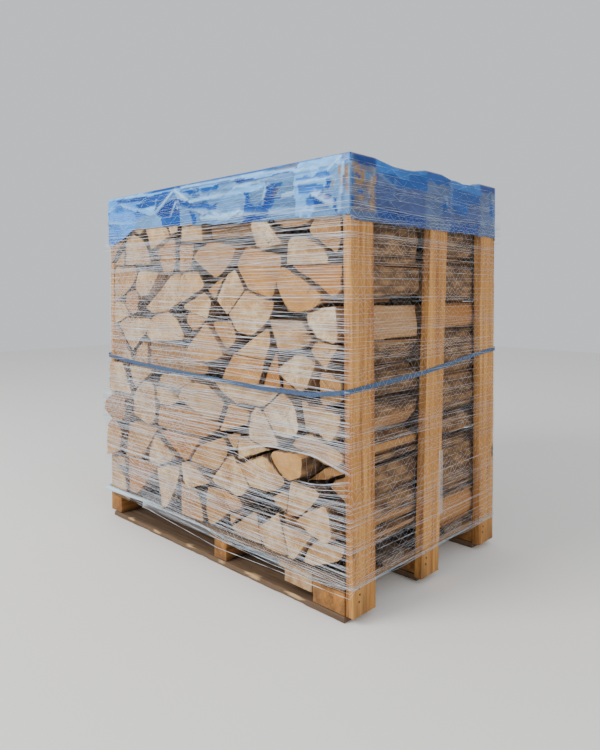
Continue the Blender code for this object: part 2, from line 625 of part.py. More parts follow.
def main():
    clear_scene()
    for name in ("pallet_of_firewood", "cutters"):
        bpy.context.scene.collection.children.link(bpy.data.collections.new(name))
    build_pallet()
    build_posts_and_battens()
    build_firewood()
    build_film()
    build_strap()
    build_net(fit_logs_together())


main()
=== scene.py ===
# %% [markdown]
# # A pallet of split firewood
#
# Two rows of split logs lie on a worn wooden pallet, held by six posts, with three
# battens on top. A blue film keeps the rain off, a strap goes round the middle, and a
# stretch net is wound round everything. The CAD model gives each piece its place and
# size. This lesson gives each piece the surface that the real one has.

# %% Load the frame
from math import atan2, cos, pi, radians, sin

import bmesh
import bpy
import numpy as np
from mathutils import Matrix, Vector, noise
from mathutils.geometry import convex_hull_2d


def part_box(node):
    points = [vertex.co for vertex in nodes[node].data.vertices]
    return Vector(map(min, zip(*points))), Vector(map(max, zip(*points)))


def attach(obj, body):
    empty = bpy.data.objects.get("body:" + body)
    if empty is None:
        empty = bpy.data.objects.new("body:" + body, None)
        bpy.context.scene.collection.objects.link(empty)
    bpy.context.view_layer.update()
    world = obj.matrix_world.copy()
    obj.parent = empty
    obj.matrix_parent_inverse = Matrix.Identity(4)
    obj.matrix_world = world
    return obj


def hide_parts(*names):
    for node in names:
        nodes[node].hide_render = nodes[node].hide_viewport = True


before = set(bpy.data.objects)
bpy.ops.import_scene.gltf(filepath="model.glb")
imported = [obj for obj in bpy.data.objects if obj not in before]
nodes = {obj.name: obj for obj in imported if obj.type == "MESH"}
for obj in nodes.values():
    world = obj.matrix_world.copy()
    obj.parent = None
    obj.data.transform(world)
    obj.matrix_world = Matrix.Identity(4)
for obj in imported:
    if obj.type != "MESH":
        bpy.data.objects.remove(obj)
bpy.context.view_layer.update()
MM = 0.001
print("CAD nodes:", len(nodes))

# %% [markdown]
# ## Colours and nodes
#
# Colours are written as sRGB hex codes, as a paint program gives them, and shaders want
# linear light, so one function turns the first into the second. A second one adds a
# node, sets it and links it, because every material and node tree below is built so.

# %% Two small helpers
def linear(code):
    """An sRGB hex colour as linear red, green, blue and alpha."""
    parts = [int(code[place:place + 2], 16) / 255 for place in (1, 3, 5)]
    return [part / 12.92 if part <= 0.04045 else ((part + 0.055) / 1.055) ** 2.4 for part in parts] + [1.0]


def add(tree, kind, inputs=None, **settings):
    """Add a node with its own settings. inputs gives a socket a value, or a socket to link from."""
    node = tree.nodes.new(kind)
    for name, value in settings.items():
        setattr(node, name, value)
    for key, value in (inputs or {}).items():
        if isinstance(value, bpy.types.NodeSocket):
            tree.links.new(value, node.inputs[key])
        else:
            node.inputs[key].default_value = value
    return node


print("weathered wood in linear light:", [round(part, 3) for part in linear("#8A6848")[:3]])

# %% [markdown]
# ## Wood that was sawn
#
# A sawn board shows its grain as long streaks. Stretching a noise pattern along the
# grain draws them, and at the board's ends the same pattern closes up into the dots of
# end grain. A second, much longer noise carries the greying by rain, and the same noise
# the mud low on the board, and a sparse cell pattern gives the knots.

# %% The sawn wood
STREAK_MM = 4                   # growth rings are finer, but this is the finest that shows
GRAIN_STRETCH = 28
KNOT_SPACING_MM = 210
LONG_AXIS = {"x": 0, "y": 1, "z": 2}


def start_material(name):
    """An empty material with its shader, and its own Object coordinates."""
    material = bpy.data.materials.new(name)
    material.use_nodes = True
    tree = material.node_tree
    place = add(tree, "ShaderNodeTexCoord").outputs["Object"]
    return material, tree, tree.nodes["Principled BSDF"], place


def sawn_wood(name, axis, pale, dark, grey, greying, knots):
    """Sawn softwood with its grain along one axis. greying is the share that rain has turned grey."""
    material, tree, shader, place = start_material(name)
    along = [1.0, 1.0, 1.0]
    along[LONG_AXIS[axis]] = 1 / GRAIN_STRETCH
    grain = add(tree, "ShaderNodeMapping", {"Vector": place, "Scale": along}).outputs[0]
    streaks = add(tree, "ShaderNodeTexNoise", {"Vector": grain, "Scale": 1 / (STREAK_MM * MM), "Detail": 5.0,
                                               "Roughness": 0.65, "Distortion": 0.4})
    bands = add(tree, "ShaderNodeTexNoise", {"Vector": grain, "Scale": 1 / (22 * MM), "Detail": 3.0})
    both = add(tree, "ShaderNodeMath", {0: streaks.outputs[0], 1: bands.outputs[0]}, operation="ADD")
    ramp = add(tree, "ShaderNodeMapRange", {0: both.outputs[0], 1: 0.80, 2: 1.20})
    wood = add(tree, "ShaderNodeMix", {0: ramp.outputs[0], 6: linear(dark), 7: linear(pale)},
               data_type="RGBA")
    knot_map = [1 / (KNOT_SPACING_MM * MM)] * 3
    knot_map[LONG_AXIS[axis]] /= 1.6
    cells = add(tree, "ShaderNodeMapping", {"Vector": place, "Scale": knot_map}).outputs[0]
    knot = add(tree, "ShaderNodeTexVoronoi", {"Vector": cells, "Scale": 1.0})
    spot = add(tree, "ShaderNodeMapRange", {0: knot.outputs["Distance"], 1: 0.045, 2: 0.10, 3: knots, 4: 0.0})
    knotty = add(tree, "ShaderNodeMix", {0: spot.outputs[0], 6: wood.outputs[2], 7: linear("#4E2F1A")},
                 data_type="RGBA")
    rain = add(tree, "ShaderNodeTexNoise",
               {"Vector": grain, "Scale": 1 / (60 * MM), "Detail": 6.0, "Roughness": 0.7})
    washed = add(tree, "ShaderNodeMapRange",
                 {0: rain.outputs[0], 1: 0.72 - 0.45 * greying, 2: 0.95 - 0.45 * greying,
                  3: 0.0, 4: 0.85})
    worn = add(tree, "ShaderNodeMix", {0: washed.outputs[0], 6: knotty.outputs[2], 7: linear(grey)},
               data_type="RGBA")
    chip = add(tree, "ShaderNodeAttribute", attribute_name="chipped").outputs["Fac"]
    height = add(tree, "ShaderNodeSeparateXYZ", {0: place}).outputs[2]
    low = add(tree, "ShaderNodeMapRange", {0: height, 1: 0.02, 2: 0.13, 3: 0.75, 4: 0.0}).outputs[0]
    mud = add(tree, "ShaderNodeMapRange", {0: rain.outputs[0], 1: 0.35, 2: 0.62, 3: 0.0, 4: low}).outputs[0]
    muddy = add(tree, "ShaderNodeMix", {0: mud, 6: worn.outputs[2], 7: linear("#64482A")}, data_type="RGBA")
    lines = add(tree, "ShaderNodeMapRange",
                {0: streaks.outputs[0], 1: 0.56, 2: 0.64, 3: 0.0, 4: low}).outputs[0]
    frayed = add(tree, "ShaderNodeMix", {0: lines, 6: muddy.outputs[2], 7: linear("#38240F")},
                 data_type="RGBA")
    bare = add(tree, "ShaderNodeMath", {0: chip, 1: 0.75}, operation="MULTIPLY").outputs[0]
    shown = add(tree, "ShaderNodeMix", {0: bare, 6: frayed.outputs[2], 7: linear("#CDA878")},
                data_type="RGBA")
    tree.links.new(shown.outputs[2], shader.inputs["Base Color"])
    shader.inputs["Roughness"].default_value = 0.82
    relief = add(tree, "ShaderNodeBump", {"Height": both.outputs[0], "Distance": 0.0012, "Strength": 0.6})
    tree.links.new(relief.outputs[0], shader.inputs["Normal"])
    return material


# Old pallet softwood, rough sawn: brown-grey, greyer where the rain stands on it.
pallet_x = sawn_wood("rough_sawn_pallet_spruce_x", "x", "#7C634C", "#372A1F", "#74695C", 0.6, 0.9)
pallet_y = sawn_wood("rough_sawn_pallet_spruce_y", "y", "#8E6B48", "#4E3824", "#7C7062", 0.35, 0.6)
block_wood = sawn_wood("rough_sawn_pallet_block", "y", "#B97D38", "#704519", "#84705C", 0.26, 0.3)
# New slats, band sawn: clear yellow-brown, with knots.
post_wood = sawn_wood("band_sawn_post_pine", "z", "#CC954C", "#8C5622", "#8E6C46", 0.30, 1.0)
batten_wood = sawn_wood("band_sawn_batten_pine", "x", "#C99450", "#9C6630", "#94744E", 0.2, 1.0)
# A fresh offcut, still nearly white.
offcut_wood = sawn_wood("fresh_sawn_pine_offcut", "y", "#D2B48A", "#A8774A", "#A4917A", 0.25, 1.0)
print("sawn wood materials: 6, streaks of", STREAK_MM, "mm")

# %% [markdown]
# ## Boards as a node tree
#
# All boards follow one rule: a block between two corners, with edges rounded by wear
# and chipped where a noise says so. So one Geometry Nodes tree makes them all. It
# starts from a cube whose lines crowd towards its edges, moves each point to the
# nearest point of a smaller box, and then out again by the wear radius. Where the
# radius is small the edge is sharp, and where the noise makes it large it is chipped.

# %% The board tree
def new_tree(name, sockets):
    """A geometry node tree with named inputs, its input node and an open end."""
    tree = bpy.data.node_groups.new(name, "GeometryNodeTree")
    tree.interface.new_socket("Geometry", in_out="OUTPUT", socket_type="NodeSocketGeometry")
    for label, kind in sockets.items():
        tree.interface.new_socket(label, in_out="INPUT", socket_type="NodeSocket" + kind)
    return tree, add(tree, "NodeGroupInput").outputs


def close_tree(tree, shape, material):
    """End a tree in Realize Instances and Set Material."""
    real = add(tree, "GeometryNodeRealizeInstances", {"Geometry": shape}).outputs[0]
    coated = add(tree, "GeometryNodeSetMaterial", {"Geometry": real, "Material": material}).outputs[0]
    add(tree, "NodeGroupOutput", {"Geometry": coated})


board_tree, given = new_tree("worn board", {"Half Size": "Vector", "Middle": "Vector", "Lean": "Float",
                                            "Wear": "Float", "Chips": "Float", "Seed": "Float",
                                            "Lines": "Vector", "Material": "Material"})
lines = add(board_tree, "ShaderNodeSeparateXYZ", {0: given["Lines"]}).outputs
cube = add(board_tree, "GeometryNodeMeshCube", {"Size": (2, 2, 2), "Vertices X": lines[0],
                                                "Vertices Y": lines[1], "Vertices Z": lines[2]})
place = add(board_tree, "GeometryNodeInputPosition").outputs[0]
quarter = add(board_tree, "ShaderNodeVectorMath", {0: place, "Scale": pi / 2}, operation="SCALE").outputs[0]
crowded = add(board_tree, "ShaderNodeVectorMath", {0: quarter}, operation="SINE").outputs[0]
sized = add(board_tree, "ShaderNodeVectorMath", {0: crowded, 1: given["Half Size"]},
            operation="MULTIPLY").outputs[0]
there = add(board_tree, "ShaderNodeVectorMath", {0: sized, 1: given["Middle"]}, operation="ADD").outputs[0]
chip_place = add(board_tree, "ShaderNodeCombineXYZ", {0: given["Seed"], 1: given["Seed"]}).outputs[0]
moved = add(board_tree, "ShaderNodeVectorMath", {0: there, 1: chip_place}, operation="ADD").outputs[0]
chip_noise = add(board_tree, "ShaderNodeTexNoise", {"Vector": moved, "Scale": 1 / (45 * MM), "Detail": 3.0})
chip = add(board_tree, "ShaderNodeMapRange",
           {0: chip_noise.outputs[0], 1: 0.52, 2: 0.70, 3: 0.0, 4: given["Chips"]})
radius = add(board_tree, "ShaderNodeMath", {0: given["Wear"], 1: chip.outputs[0]}, operation="ADD").outputs[0]
inset = add(board_tree, "ShaderNodeVectorMath", {0: given["Half Size"], 1: radius},
            operation="SUBTRACT").outputs[0]
outset = add(board_tree, "ShaderNodeVectorMath", {0: inset, "Scale": -1.0}, operation="SCALE").outputs[0]
under = add(board_tree, "ShaderNodeVectorMath", {0: sized, 1: inset}, operation="MINIMUM").outputs[0]
inner = add(board_tree, "ShaderNodeVectorMath", {0: under, 1: outset}, operation="MAXIMUM").outputs[0]
apart = add(board_tree, "ShaderNodeVectorMath", {0: sized, 1: inner}, operation="SUBTRACT").outputs[0]
away = add(board_tree, "ShaderNodeVectorMath", {0: apart}, operation="NORMALIZE").outputs[0]
rounded = add(board_tree, "ShaderNodeVectorMath", {0: away, "Scale": radius}, operation="SCALE").outputs[0]
worn_place = add(board_tree, "ShaderNodeVectorMath", {0: inner, 1: rounded}, operation="ADD").outputs[0]
rough = add(board_tree, "ShaderNodeTexNoise", {"Vector": moved, "Scale": 1 / (80 * MM), "Detail": 2.0})
dent = add(board_tree, "ShaderNodeMath", {0: rough.outputs[0], 1: -1.6 * MM}, operation="MULTIPLY").outputs[0]
pressed = add(board_tree, "ShaderNodeVectorMath", {0: away, "Scale": dent}, operation="SCALE").outputs[0]
final = add(board_tree, "ShaderNodeVectorMath", {0: worn_place, 1: pressed}, operation="ADD").outputs[0]
level = add(board_tree, "ShaderNodeSeparateXYZ", {0: crowded}).outputs[2]
shift = add(board_tree, "ShaderNodeMath", {0: level, 1: given["Lean"]}, operation="MULTIPLY").outputs[0]
sideways = add(board_tree, "ShaderNodeCombineXYZ", {1: shift}).outputs[0]
leaning = add(board_tree, "ShaderNodeVectorMath", {0: final, 1: sideways}, operation="ADD").outputs[0]
standing = add(board_tree, "ShaderNodeVectorMath", {0: leaning, 1: given["Middle"]},
               operation="ADD").outputs[0]
board_shape = add(board_tree, "GeometryNodeSetPosition", {"Geometry": cube.outputs[0], "Position": standing})
chipped = add(board_tree, "ShaderNodeMapRange", {0: chip_noise.outputs[0], 1: 0.56, 2: 0.62}).outputs[0]
at_edge = add(board_tree, "ShaderNodeVectorMath", {0: apart}, operation="LENGTH").outputs["Value"]
edge_only = add(board_tree, "ShaderNodeMath", {0: at_edge, 1: radius}, operation="GREATER_THAN").outputs[0]
fresh = add(board_tree, "ShaderNodeMath", {0: chipped, 1: edge_only}, operation="MULTIPLY").outputs[0]
marked = add(board_tree, "GeometryNodeStoreNamedAttribute",
             {"Geometry": board_shape.outputs[0], "Name": "chipped",
              "Value": fresh}, data_type="FLOAT")
close_tree(board_tree, marked.outputs[0], given["Material"])


def grown(tree, name, values, base=None):
    """The plain mesh that a tree makes, with its inputs set by their identifiers."""
    holder = bpy.data.objects.new(name, base or bpy.data.meshes.new(name))
    modifier = holder.modifiers.new("grow", "NODES")
    modifier.node_group = tree
    for item in tree.interface.items_tree:
        if item.in_out == "INPUT" and item.name in values:
            modifier[item.identifier] = values[item.name]
    bpy.context.scene.collection.objects.link(holder)
    view = bpy.context.evaluated_depsgraph_get()
    mesh = bpy.data.meshes.new_from_object(holder.evaluated_get(view))
    bpy.data.objects.remove(holder)
    return mesh


def add_piece(name, mesh, stands_for=()):
    """A finished piece at the origin, riding on the body and standing for its CAD nodes."""
    mesh.name = name
    thing = bpy.data.objects.new(name, mesh)
    bpy.context.scene.collection.objects.link(thing)
    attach(thing, "root")
    if stands_for:
        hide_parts(*stands_for)
    return thing


def shade(mesh, crease):
    """Smooth shading that keeps every edge sharper than crease degrees."""
    mesh.shade_smooth()
    mesh.set_sharp_from_angle(angle=radians(crease))


print("board tree nodes:", len(board_tree.nodes))

# %% [markdown]
# ## The pallet, the posts and the battens
#
# Every board takes its two corners from its CAD node. A post's head may stand a little
# to the side of its foot, which the CAD mesh shows too, so the lean is measured from it.

# %% Make the boards
LINE_MM = 14                    # mesh lines along a board are about this far apart
FINISHES = {
    "pallet_bottom": (pallet_x, "weathered_pallet_wood", 1.6, 7.0),
    "pallet_block": (block_wood, "weathered_pallet_wood", 1.8, 8.0),
    "pallet_cross": (pallet_y, "weathered_pallet_wood", 1.2, 4.0),
    "pallet_deck": (pallet_x, "weathered_pallet_wood", 1.2, 3.5),
    "pallet_offcut": (offcut_wood, "fresh_offcut_wood", 1.0, 3.0),
    "post": (post_wood, "sawn_post_wood", 1.6, 3.0),
    "top_batten": (batten_wood, "sawn_post_wood", 1.6, 3.0),
}


def board_values(node, seed, finish):
    """The tree's inputs for one board, from its CAD node."""
    low, high = (Vector(corner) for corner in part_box(node))
    corners = [vert.co for vert in nodes[node].data.vertices]
    feet = [co.y for co in corners if co.z < low.z + 1 * MM]
    heads = [co.y for co in corners if co.z > high.z - 1 * MM]
    lean = ((min(heads) + max(heads)) - (min(feet) + max(feet))) / 4
    half = (high - low) / 2
    half.y -= abs(lean)
    material, _, wear, chips = finish
    counts = [max(9, round(2 * side / (LINE_MM * MM))) for side in half]
    return {"Half Size": half, "Middle": (low + high) / 2, "Lean": lean, "Wear": wear * MM,
            "Chips": chips * MM, "Seed": seed * 0.37, "Lines": Vector(counts), "Material": material}


# Light chips along the front bottom board, as x, z, half width and half height in mm
FRONT_CHIPS = ((412, 13, 34, 6), (232, 15, 34, 6), (72, 13, 16, 5), (-95, 16, 20, 4), (-300, 12, 26, 5),
               (-470, 15, 18, 5))


def chip_front(mesh):
    """Mark the drawn chips on a board's front face."""
    front = min(vert.co.y for vert in mesh.vertices) + 5 * MM
    marks = mesh.attributes["chipped"].data
    for vert, mark in zip(mesh.vertices, marks):
        x, z = vert.co.x / MM, vert.co.z / MM
        near = any(((x - x0) / wide) ** 2 + ((z - z0) / high) ** 2 < 1
                   for x0, z0, wide, high in FRONT_CHIPS)
        if vert.co.y < front and near:
            mark.value = 1.0


board_names = [name for name in sorted(nodes) if name.startswith(("pallet", "post", "top_batten"))]
for number, node in enumerate(board_names, 1):
    finish = next(value for start, value in FINISHES.items() if node.startswith(start))
    if node == "pallet_cross_board_extra":
        finish = FINISHES["pallet_offcut"]
    mesh = grown(board_tree, node, board_values(node, number, finish))
    if node == "pallet_bottom_board_front":
        chip_front(mesh)
    shade(mesh, 40)
    add_piece(node + "_wood", mesh, [node])
print("boards:", len(board_names))

# %% [markdown]
# ## Reading the logs from the CAD
#
# In the CAD each course is one solid of straight logs, and each log's sawn end is a
# flat face at its own distance from the pallet. Faces at one distance that share
# corners belong to one log, so those are collected, and their convex hull is the log's
# outline. The most proud log of a course comes first.

# %% Find each log
def log_outlines(node):
    """Each log of a course as (y of its outer end, side of the stack, outline points as (x, z))."""
    mesh = nodes[node].data
    side = -1 if "front" in node else 1
    groups = []
    for face in mesh.polygons:
        if face.normal.y * side > 0.99 and face.center.y * side > 0.3:
            y = round(face.center.y, 5)
            corners = {tuple(round(part, 5) for part in mesh.vertices[v].co) for v in face.vertices}
            joined = [group for group in groups if group[0] == y and group[1] & corners]
            for group in joined:
                corners |= group[1]
                groups.remove(group)
            groups.append((y, corners))
    logs = []
    for y, corners in groups:
        flat = [Vector((x, z)) for x, _, z in sorted(corners)]
        outline = [flat[index] for index in convex_hull_2d(flat)]
        logs.append((y, side, outline))
    return sorted(logs, key=lambda log: (-log[0] * side, sum(point.x for point in log[2]) / len(log[2])))


course_logs = {node: log_outlines(node) for node in sorted(nodes) if node.startswith("firewood")}
print("logs:", {node[9:]: len(logs) for node, logs in course_logs.items()})

# %% [markdown]
# ## Three surfaces of a split log
#
# A log shows three finishes. Its ends are sawn across the grain: growth rings round the
# pith, drying cracks that run out from it, and the tone of the wood. Its split faces are
# torn along the fibres. Its bark is dark, rough and furrowed. Points carry the log's own
# wood colour, browner as painted shade where the wood lies deep in the stack, and where
# its pith is, so one material serves every log.

# %% Materials of the logs
RING_MM = 5                     # drawn coarser than the 2 mm of the real wood, so that rings show
CRACKS_ROUND = 7                # drying cracks in a full turn round the pith


def end_grain(name):
    """Hardwood sawn across the grain: rings round the pith, cracks out from it, saw marks."""
    material, tree, shader, place = start_material(name)
    wood = add(tree, "ShaderNodeAttribute", attribute_name="wood_colour_and_shade").outputs["Color"]
    pith = add(tree, "ShaderNodeAttribute", attribute_name="from_pith").outputs["Vector"]
    split = add(tree, "ShaderNodeSeparateXYZ", {0: pith}).outputs
    flat = add(tree, "ShaderNodeCombineXYZ", {0: split[0], 2: split[2]}).outputs[0]
    wander = add(tree, "ShaderNodeTexNoise", {"Vector": pith, "Scale": 1 / (50 * MM), "Detail": 4.0})
    far = add(tree, "ShaderNodeVectorMath", {0: flat}, operation="LENGTH").outputs["Value"]
    bent = add(tree, "ShaderNodeMath", {0: wander.outputs[0], 1: 0.018, 2: far},
               operation="MULTIPLY_ADD").outputs[0]
    turns = add(tree, "ShaderNodeMath", {0: bent, 1: 2 * pi / (RING_MM * MM)},
                operation="MULTIPLY").outputs[0]
    rings = add(tree, "ShaderNodeMath", {0: turns}, operation="SINE").outputs[0]
    angle = add(tree, "ShaderNodeMath", {0: split[2], 1: split[0]}, operation="ARCTAN2").outputs[0]
    wobble = add(tree, "ShaderNodeMath", {0: wander.outputs[0], 1: 1.6, 2: angle},
                 operation="MULTIPLY_ADD").outputs[0]
    slices = add(tree, "ShaderNodeMath", {0: wobble, 1: CRACKS_ROUND / (2 * pi)},
                 operation="MULTIPLY").outputs[0]
    part = add(tree, "ShaderNodeMath", {0: slices, 1: 1.0}, operation="PINGPONG").outputs[0]
    width = add(tree, "ShaderNodeMath", {0: part, 1: far}, operation="MULTIPLY").outputs[0]
    crack = add(tree, "ShaderNodeMapRange", {0: width, 1: 0.0003, 2: 0.0016, 3: 0.75, 4: 0.0}).outputs[0]
    blotch = add(tree, "ShaderNodeTexNoise",
                 {"Vector": place, "Scale": 1 / (34 * MM), "Detail": 6.0, "Roughness": 0.65})
    stain = add(tree, "ShaderNodeMapRange",
                {0: blotch.outputs[0], 1: 0.40, 2: 0.62, 3: 0.0, 4: 0.75}).outputs[0]
    ringed = add(tree, "ShaderNodeMapRange", {0: rings, 1: -1.0, 2: 1.0, 3: 0.0, 4: 0.20}).outputs[0]
    fan = add(tree, "ShaderNodeMath", {0: angle, 1: 9.0}, operation="MULTIPLY").outputs[0]
    outward = add(tree, "ShaderNodeMath", {0: far, 1: 14.0}, operation="MULTIPLY").outputs[0]
    polar = add(tree, "ShaderNodeCombineXYZ", {0: fan, 1: outward, 2: split[1]}).outputs[0]
    rays = add(tree, "ShaderNodeTexNoise",
               {"Vector": polar, "Scale": 1.6, "Detail": 4.0, "Roughness": 0.7}).outputs[0]
    rayed = add(tree, "ShaderNodeMapRange", {0: rays, 1: 0.45, 2: 0.72, 3: 0.0, 4: 0.65}).outputs[0]
    base = add(tree, "ShaderNodeMix", {0: ringed, 6: wood, 7: linear("#9A6A3C")}, data_type="RGBA").outputs[2]
    fanned = add(tree, "ShaderNodeMix", {0: rayed, 6: base, 7: linear("#A8793F")},
                 data_type="RGBA").outputs[2]
    stained = add(tree, "ShaderNodeMix", {0: stain, 6: fanned, 7: linear("#AC7C42")},
                  data_type="RGBA").outputs[2]
    grit = add(tree, "ShaderNodeTexNoise",
               {"Vector": place, "Scale": 1 / (5 * MM), "Detail": 5.0, "Roughness": 0.8})
    specks = add(tree, "ShaderNodeMapRange",
                 {0: grit.outputs[0], 1: 0.5, 2: 0.66, 3: 0.0, 4: 0.45}).outputs[0]
    specked = add(tree, "ShaderNodeMix", {0: specks, 6: stained, 7: linear("#8A6238")},
                  data_type="RGBA").outputs[2]
    cracked = add(tree, "ShaderNodeMix", {0: crack, 6: specked, 7: linear("#4A3018")},
                  data_type="RGBA").outputs[2]
    tree.links.new(cracked, shader.inputs["Base Color"])
    shader.inputs["Roughness"].default_value = 0.85
    saw = add(tree, "ShaderNodeTexNoise",
              {"Vector": place, "Scale": 1 / (6 * MM), "Detail": 4.0, "Roughness": 0.7})
    relief = add(tree, "ShaderNodeMath", {0: crack, 1: -1.5, 2: saw.outputs[0]},
                 operation="MULTIPLY_ADD").outputs[0]
    bump = add(tree, "ShaderNodeBump", {"Height": relief, "Distance": 0.0015, "Strength": 0.5}).outputs[0]
    tree.links.new(bump, shader.inputs["Normal"])
    return material


def split_face(name):
    """Hardwood torn along its fibres: long uneven ridges, a little browner than the ends."""
    material, tree, shader, place = start_material(name)
    wood = add(tree, "ShaderNodeAttribute", attribute_name="wood_colour_and_shade").outputs["Color"]
    grain = add(tree, "ShaderNodeMapping", {"Vector": place, "Scale": (1.0, 1 / 30, 1.0)}).outputs[0]
    fibres = add(tree, "ShaderNodeTexNoise",
                 {"Vector": grain, "Scale": 1 / (5 * MM), "Detail": 6.0, "Roughness": 0.7})
    brown = add(tree, "ShaderNodeMapRange",
                {0: fibres.outputs[0], 1: 0.33, 2: 0.68, 3: 0.5, 4: 1.0}).outputs[0]
    mixed = add(tree, "ShaderNodeMix", {0: brown, 6: wood, 7: linear("#9A6834")}, data_type="RGBA").outputs[2]
    tree.links.new(mixed, shader.inputs["Base Color"])
    shader.inputs["Roughness"].default_value = 0.88
    bump = add(tree, "ShaderNodeBump",
               {"Height": fibres.outputs[0], "Distance": 0.003, "Strength": 0.8}).outputs[0]
    tree.links.new(bump, shader.inputs["Normal"])
    return material


def furrowed_bark(name):
    """Bark as it grew: furrows along the log, grey on the ridges and nearly black between."""
    material, tree, shader, place = start_material(name)
    grain = add(tree, "ShaderNodeMapping", {"Vector": place, "Scale": (1.0, 0.30, 1.0)}).outputs[0]
    plates = add(tree, "ShaderNodeTexVoronoi", {"Vector": grain, "Scale": 1 / (20 * MM)}, feature="F1")
    grit = add(tree, "ShaderNodeTexNoise",
               {"Vector": grain, "Scale": 1 / (8 * MM), "Detail": 6.0, "Roughness": 0.75})
    both = add(tree, "ShaderNodeMath", {0: plates.outputs[0], 1: grit.outputs[0]}, operation="ADD").outputs[0]
    ridge = add(tree, "ShaderNodeMapRange", {0: both, 1: 0.55, 2: 1.25}).outputs[0]
    colour = add(tree, "ShaderNodeMix", {0: ridge, 6: linear("#9A7750"), 7: linear("#553D29")},
                 data_type="RGBA")
    tree.links.new(colour.outputs[2], shader.inputs["Base Color"])
    shader.inputs["Roughness"].default_value = 0.93
    bump = add(tree, "ShaderNodeBump", {"Height": both, "Distance": 0.004, "Strength": 0.6},
               invert=True).outputs[0]
    tree.links.new(bump, shader.inputs["Normal"])
    return material


LOG_FINISHES = [end_grain("sawn_hardwood_end_grain"), split_face("split_hardwood_face"),
                furrowed_bark("furrowed_hardwood_bark")]
END, SPLIT, BARK = 0, 1, 2
print("log materials:", [material.name for material in LOG_FINISHES])

# %% [markdown]
# ## Building the logs
#
# A log was round once. It was split through the pith, so its sharpest corner is near
# the pith, the two faces at that corner are split faces, and the far side is bark. A log
# with no sharp corner is round wood, with its pith inside. Each log is a tube of rings
# of points along its outline. Noise presses bark and split faces inwards, never out,
# so no log runs into its neighbour. At two places along its length a log fills its
# outline, so that no light comes through between it and the next one. The sawn ends get
# a worn rim and a slight tilt.

# %% Tones of the logs
WOODS = {
    "v": "#EEDCB8", "p": "#E0C598", "q": "#D6B07A", "t": "#C49A62", "n": "#C8924E", "o": "#BE7C34",
    "b": "#8E6236", "g": "#8A7258", "y": "#BEA680", "k": "#4C3525", "h": "#DEC090", "s": "#B9864A",
    "m": "#D8B888",
}
# One letter for each log of a front course, the most proud log first
TONES = {
    "course_1_left": "pppopptntnt", "course_1_right": "pvppptnnttk", "course_2_left": "qtnptpt",
    "course_2_right": "tppn", "course_3_left": "hppptpbotg", "course_3_right": "mnvqvttnooo",
    "course_4_left": "bppppys", "course_4_right": "tyvvpnqppk", "course_5_left": "tttpo",
    "course_5_right": "ptppt", "course_6_left": "pppno", "course_6_right": "hpptppqynstk",
}
ANY_TONE = "vppqqttnnoyb"
# Heights at which a split face, not bark, looks out at the right-hand end of the stack
LIGHT_SIDES = {"front": ((190, 255), (425, 520), (745, 865)), "back": ((705, 835), (120, 200))}
print("tones:", len(WOODS))

# %% The outline of one log
RING_STEP_MM = 8
ROUND_ANGLE = 122               # a log with no corner sharper than this is round wood
CORNER_PASSES = 2               # each pass rounds a log's corners a little more
BELLY_MM = 14                   # how deep the grooves are between logs on the stack's outer sides
STACK_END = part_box("firewood_front_course_1_right")[1][0] - 3 * MM
FLANK = STACK_END - 60 * MM     # sides beyond this look out at the end of the stack
rng = np.random.default_rng(17)


def corner_angle(outline, index):
    """The angle inside an outline at one corner, in degrees."""
    here = outline[index]
    after = outline[(index + 1) % len(outline)] - here
    return abs((outline[index - 1] - here).angle(after)) * 180 / pi


def pith_and_bark(outline):
    """Where the pith is, and for each edge whether it is bark."""
    count = len(outline)
    angles = [corner_angle(outline, index) for index in range(count)]
    sharp = angles.index(min(angles))
    middle = sum(outline, Vector((0, 0))) / count
    if angles[sharp] > ROUND_ANGLE:
        return middle + Vector(rng.normal(0, 4 * MM, 2)), [True] * count
    pith = outline[sharp] + (outline[sharp] - middle).normalized() * rng.uniform(0, 25) * MM
    split = {sharp, (sharp - 1) % count}
    if rng.random() < 0.45:
        split.add(int(rng.integers(count)))
    return pith, [index not in split and (count > 4 or rng.random() < 0.6) for index in range(count)]


def walk_outline(outline, bark, row):
    """Points round an outline, each as (x, z, inward x, inward z, finish, belly)."""
    middle = sum(outline, Vector((0, 0))) / len(outline)
    points = []
    for index, (here, there) in enumerate(zip(outline, outline[1:] + outline[:1])):
        edge = there - here
        inward = Vector((-edge.y, edge.x)).normalized()
        if inward.dot(middle - here) < 0:
            inward.negate()
        outer = min(abs(here.x), abs(there.x)) > STACK_END
        finish = BARK if bark[index] else SPLIT
        if inward.x < -0.6 and (here.x + there.x) / 2 > FLANK:
            height = (here.y + there.y) / 2 / MM
            finish = SPLIT if any(low < height < high for low, high in LIGHT_SIDES[row]) else BARK
        steps = max(1, round(edge.length / (RING_STEP_MM * MM)))
        for share in np.arange(steps) / steps:
            belly = (1 - sin(pi * share)) ** 1.5 * min(edge.length * 0.16, BELLY_MM * MM) if outer else 0.0
            point = here + edge * share
            points.append((point.x, point.y, inward.x, inward.y, finish, belly))
    place = np.array([point[:2] for point in points])
    for _ in range(CORNER_PASSES):
        place = (np.roll(place, 1, axis=0) + 2 * place + np.roll(place, -1, axis=0)) / 4
    return [(*spot, *point[2:]) for spot, point in zip(place.tolist(), points)]


print("outer sides of the stack beyond x =", round(STACK_END / MM), "mm")

# %% Build one log
RESTING = 0.3                   # a log keeps this share of its hollows where it rests on the one below
TOUCHING = 0.05                 # this near to 0.2 and 0.5 of its length a log fills its outline
LONGER_MM = 44                  # logs that look out at the end of the stack are longer
ROW_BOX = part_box("firewood_front_course_2_right")
LOG_LENGTH = ROW_BOX[1][1] - ROW_BOX[0][1] - 11 * MM
SECTIONS = 15
MOST_PUSHED = 413 * MM          # logs that stand less proud than this may be pushed in a little
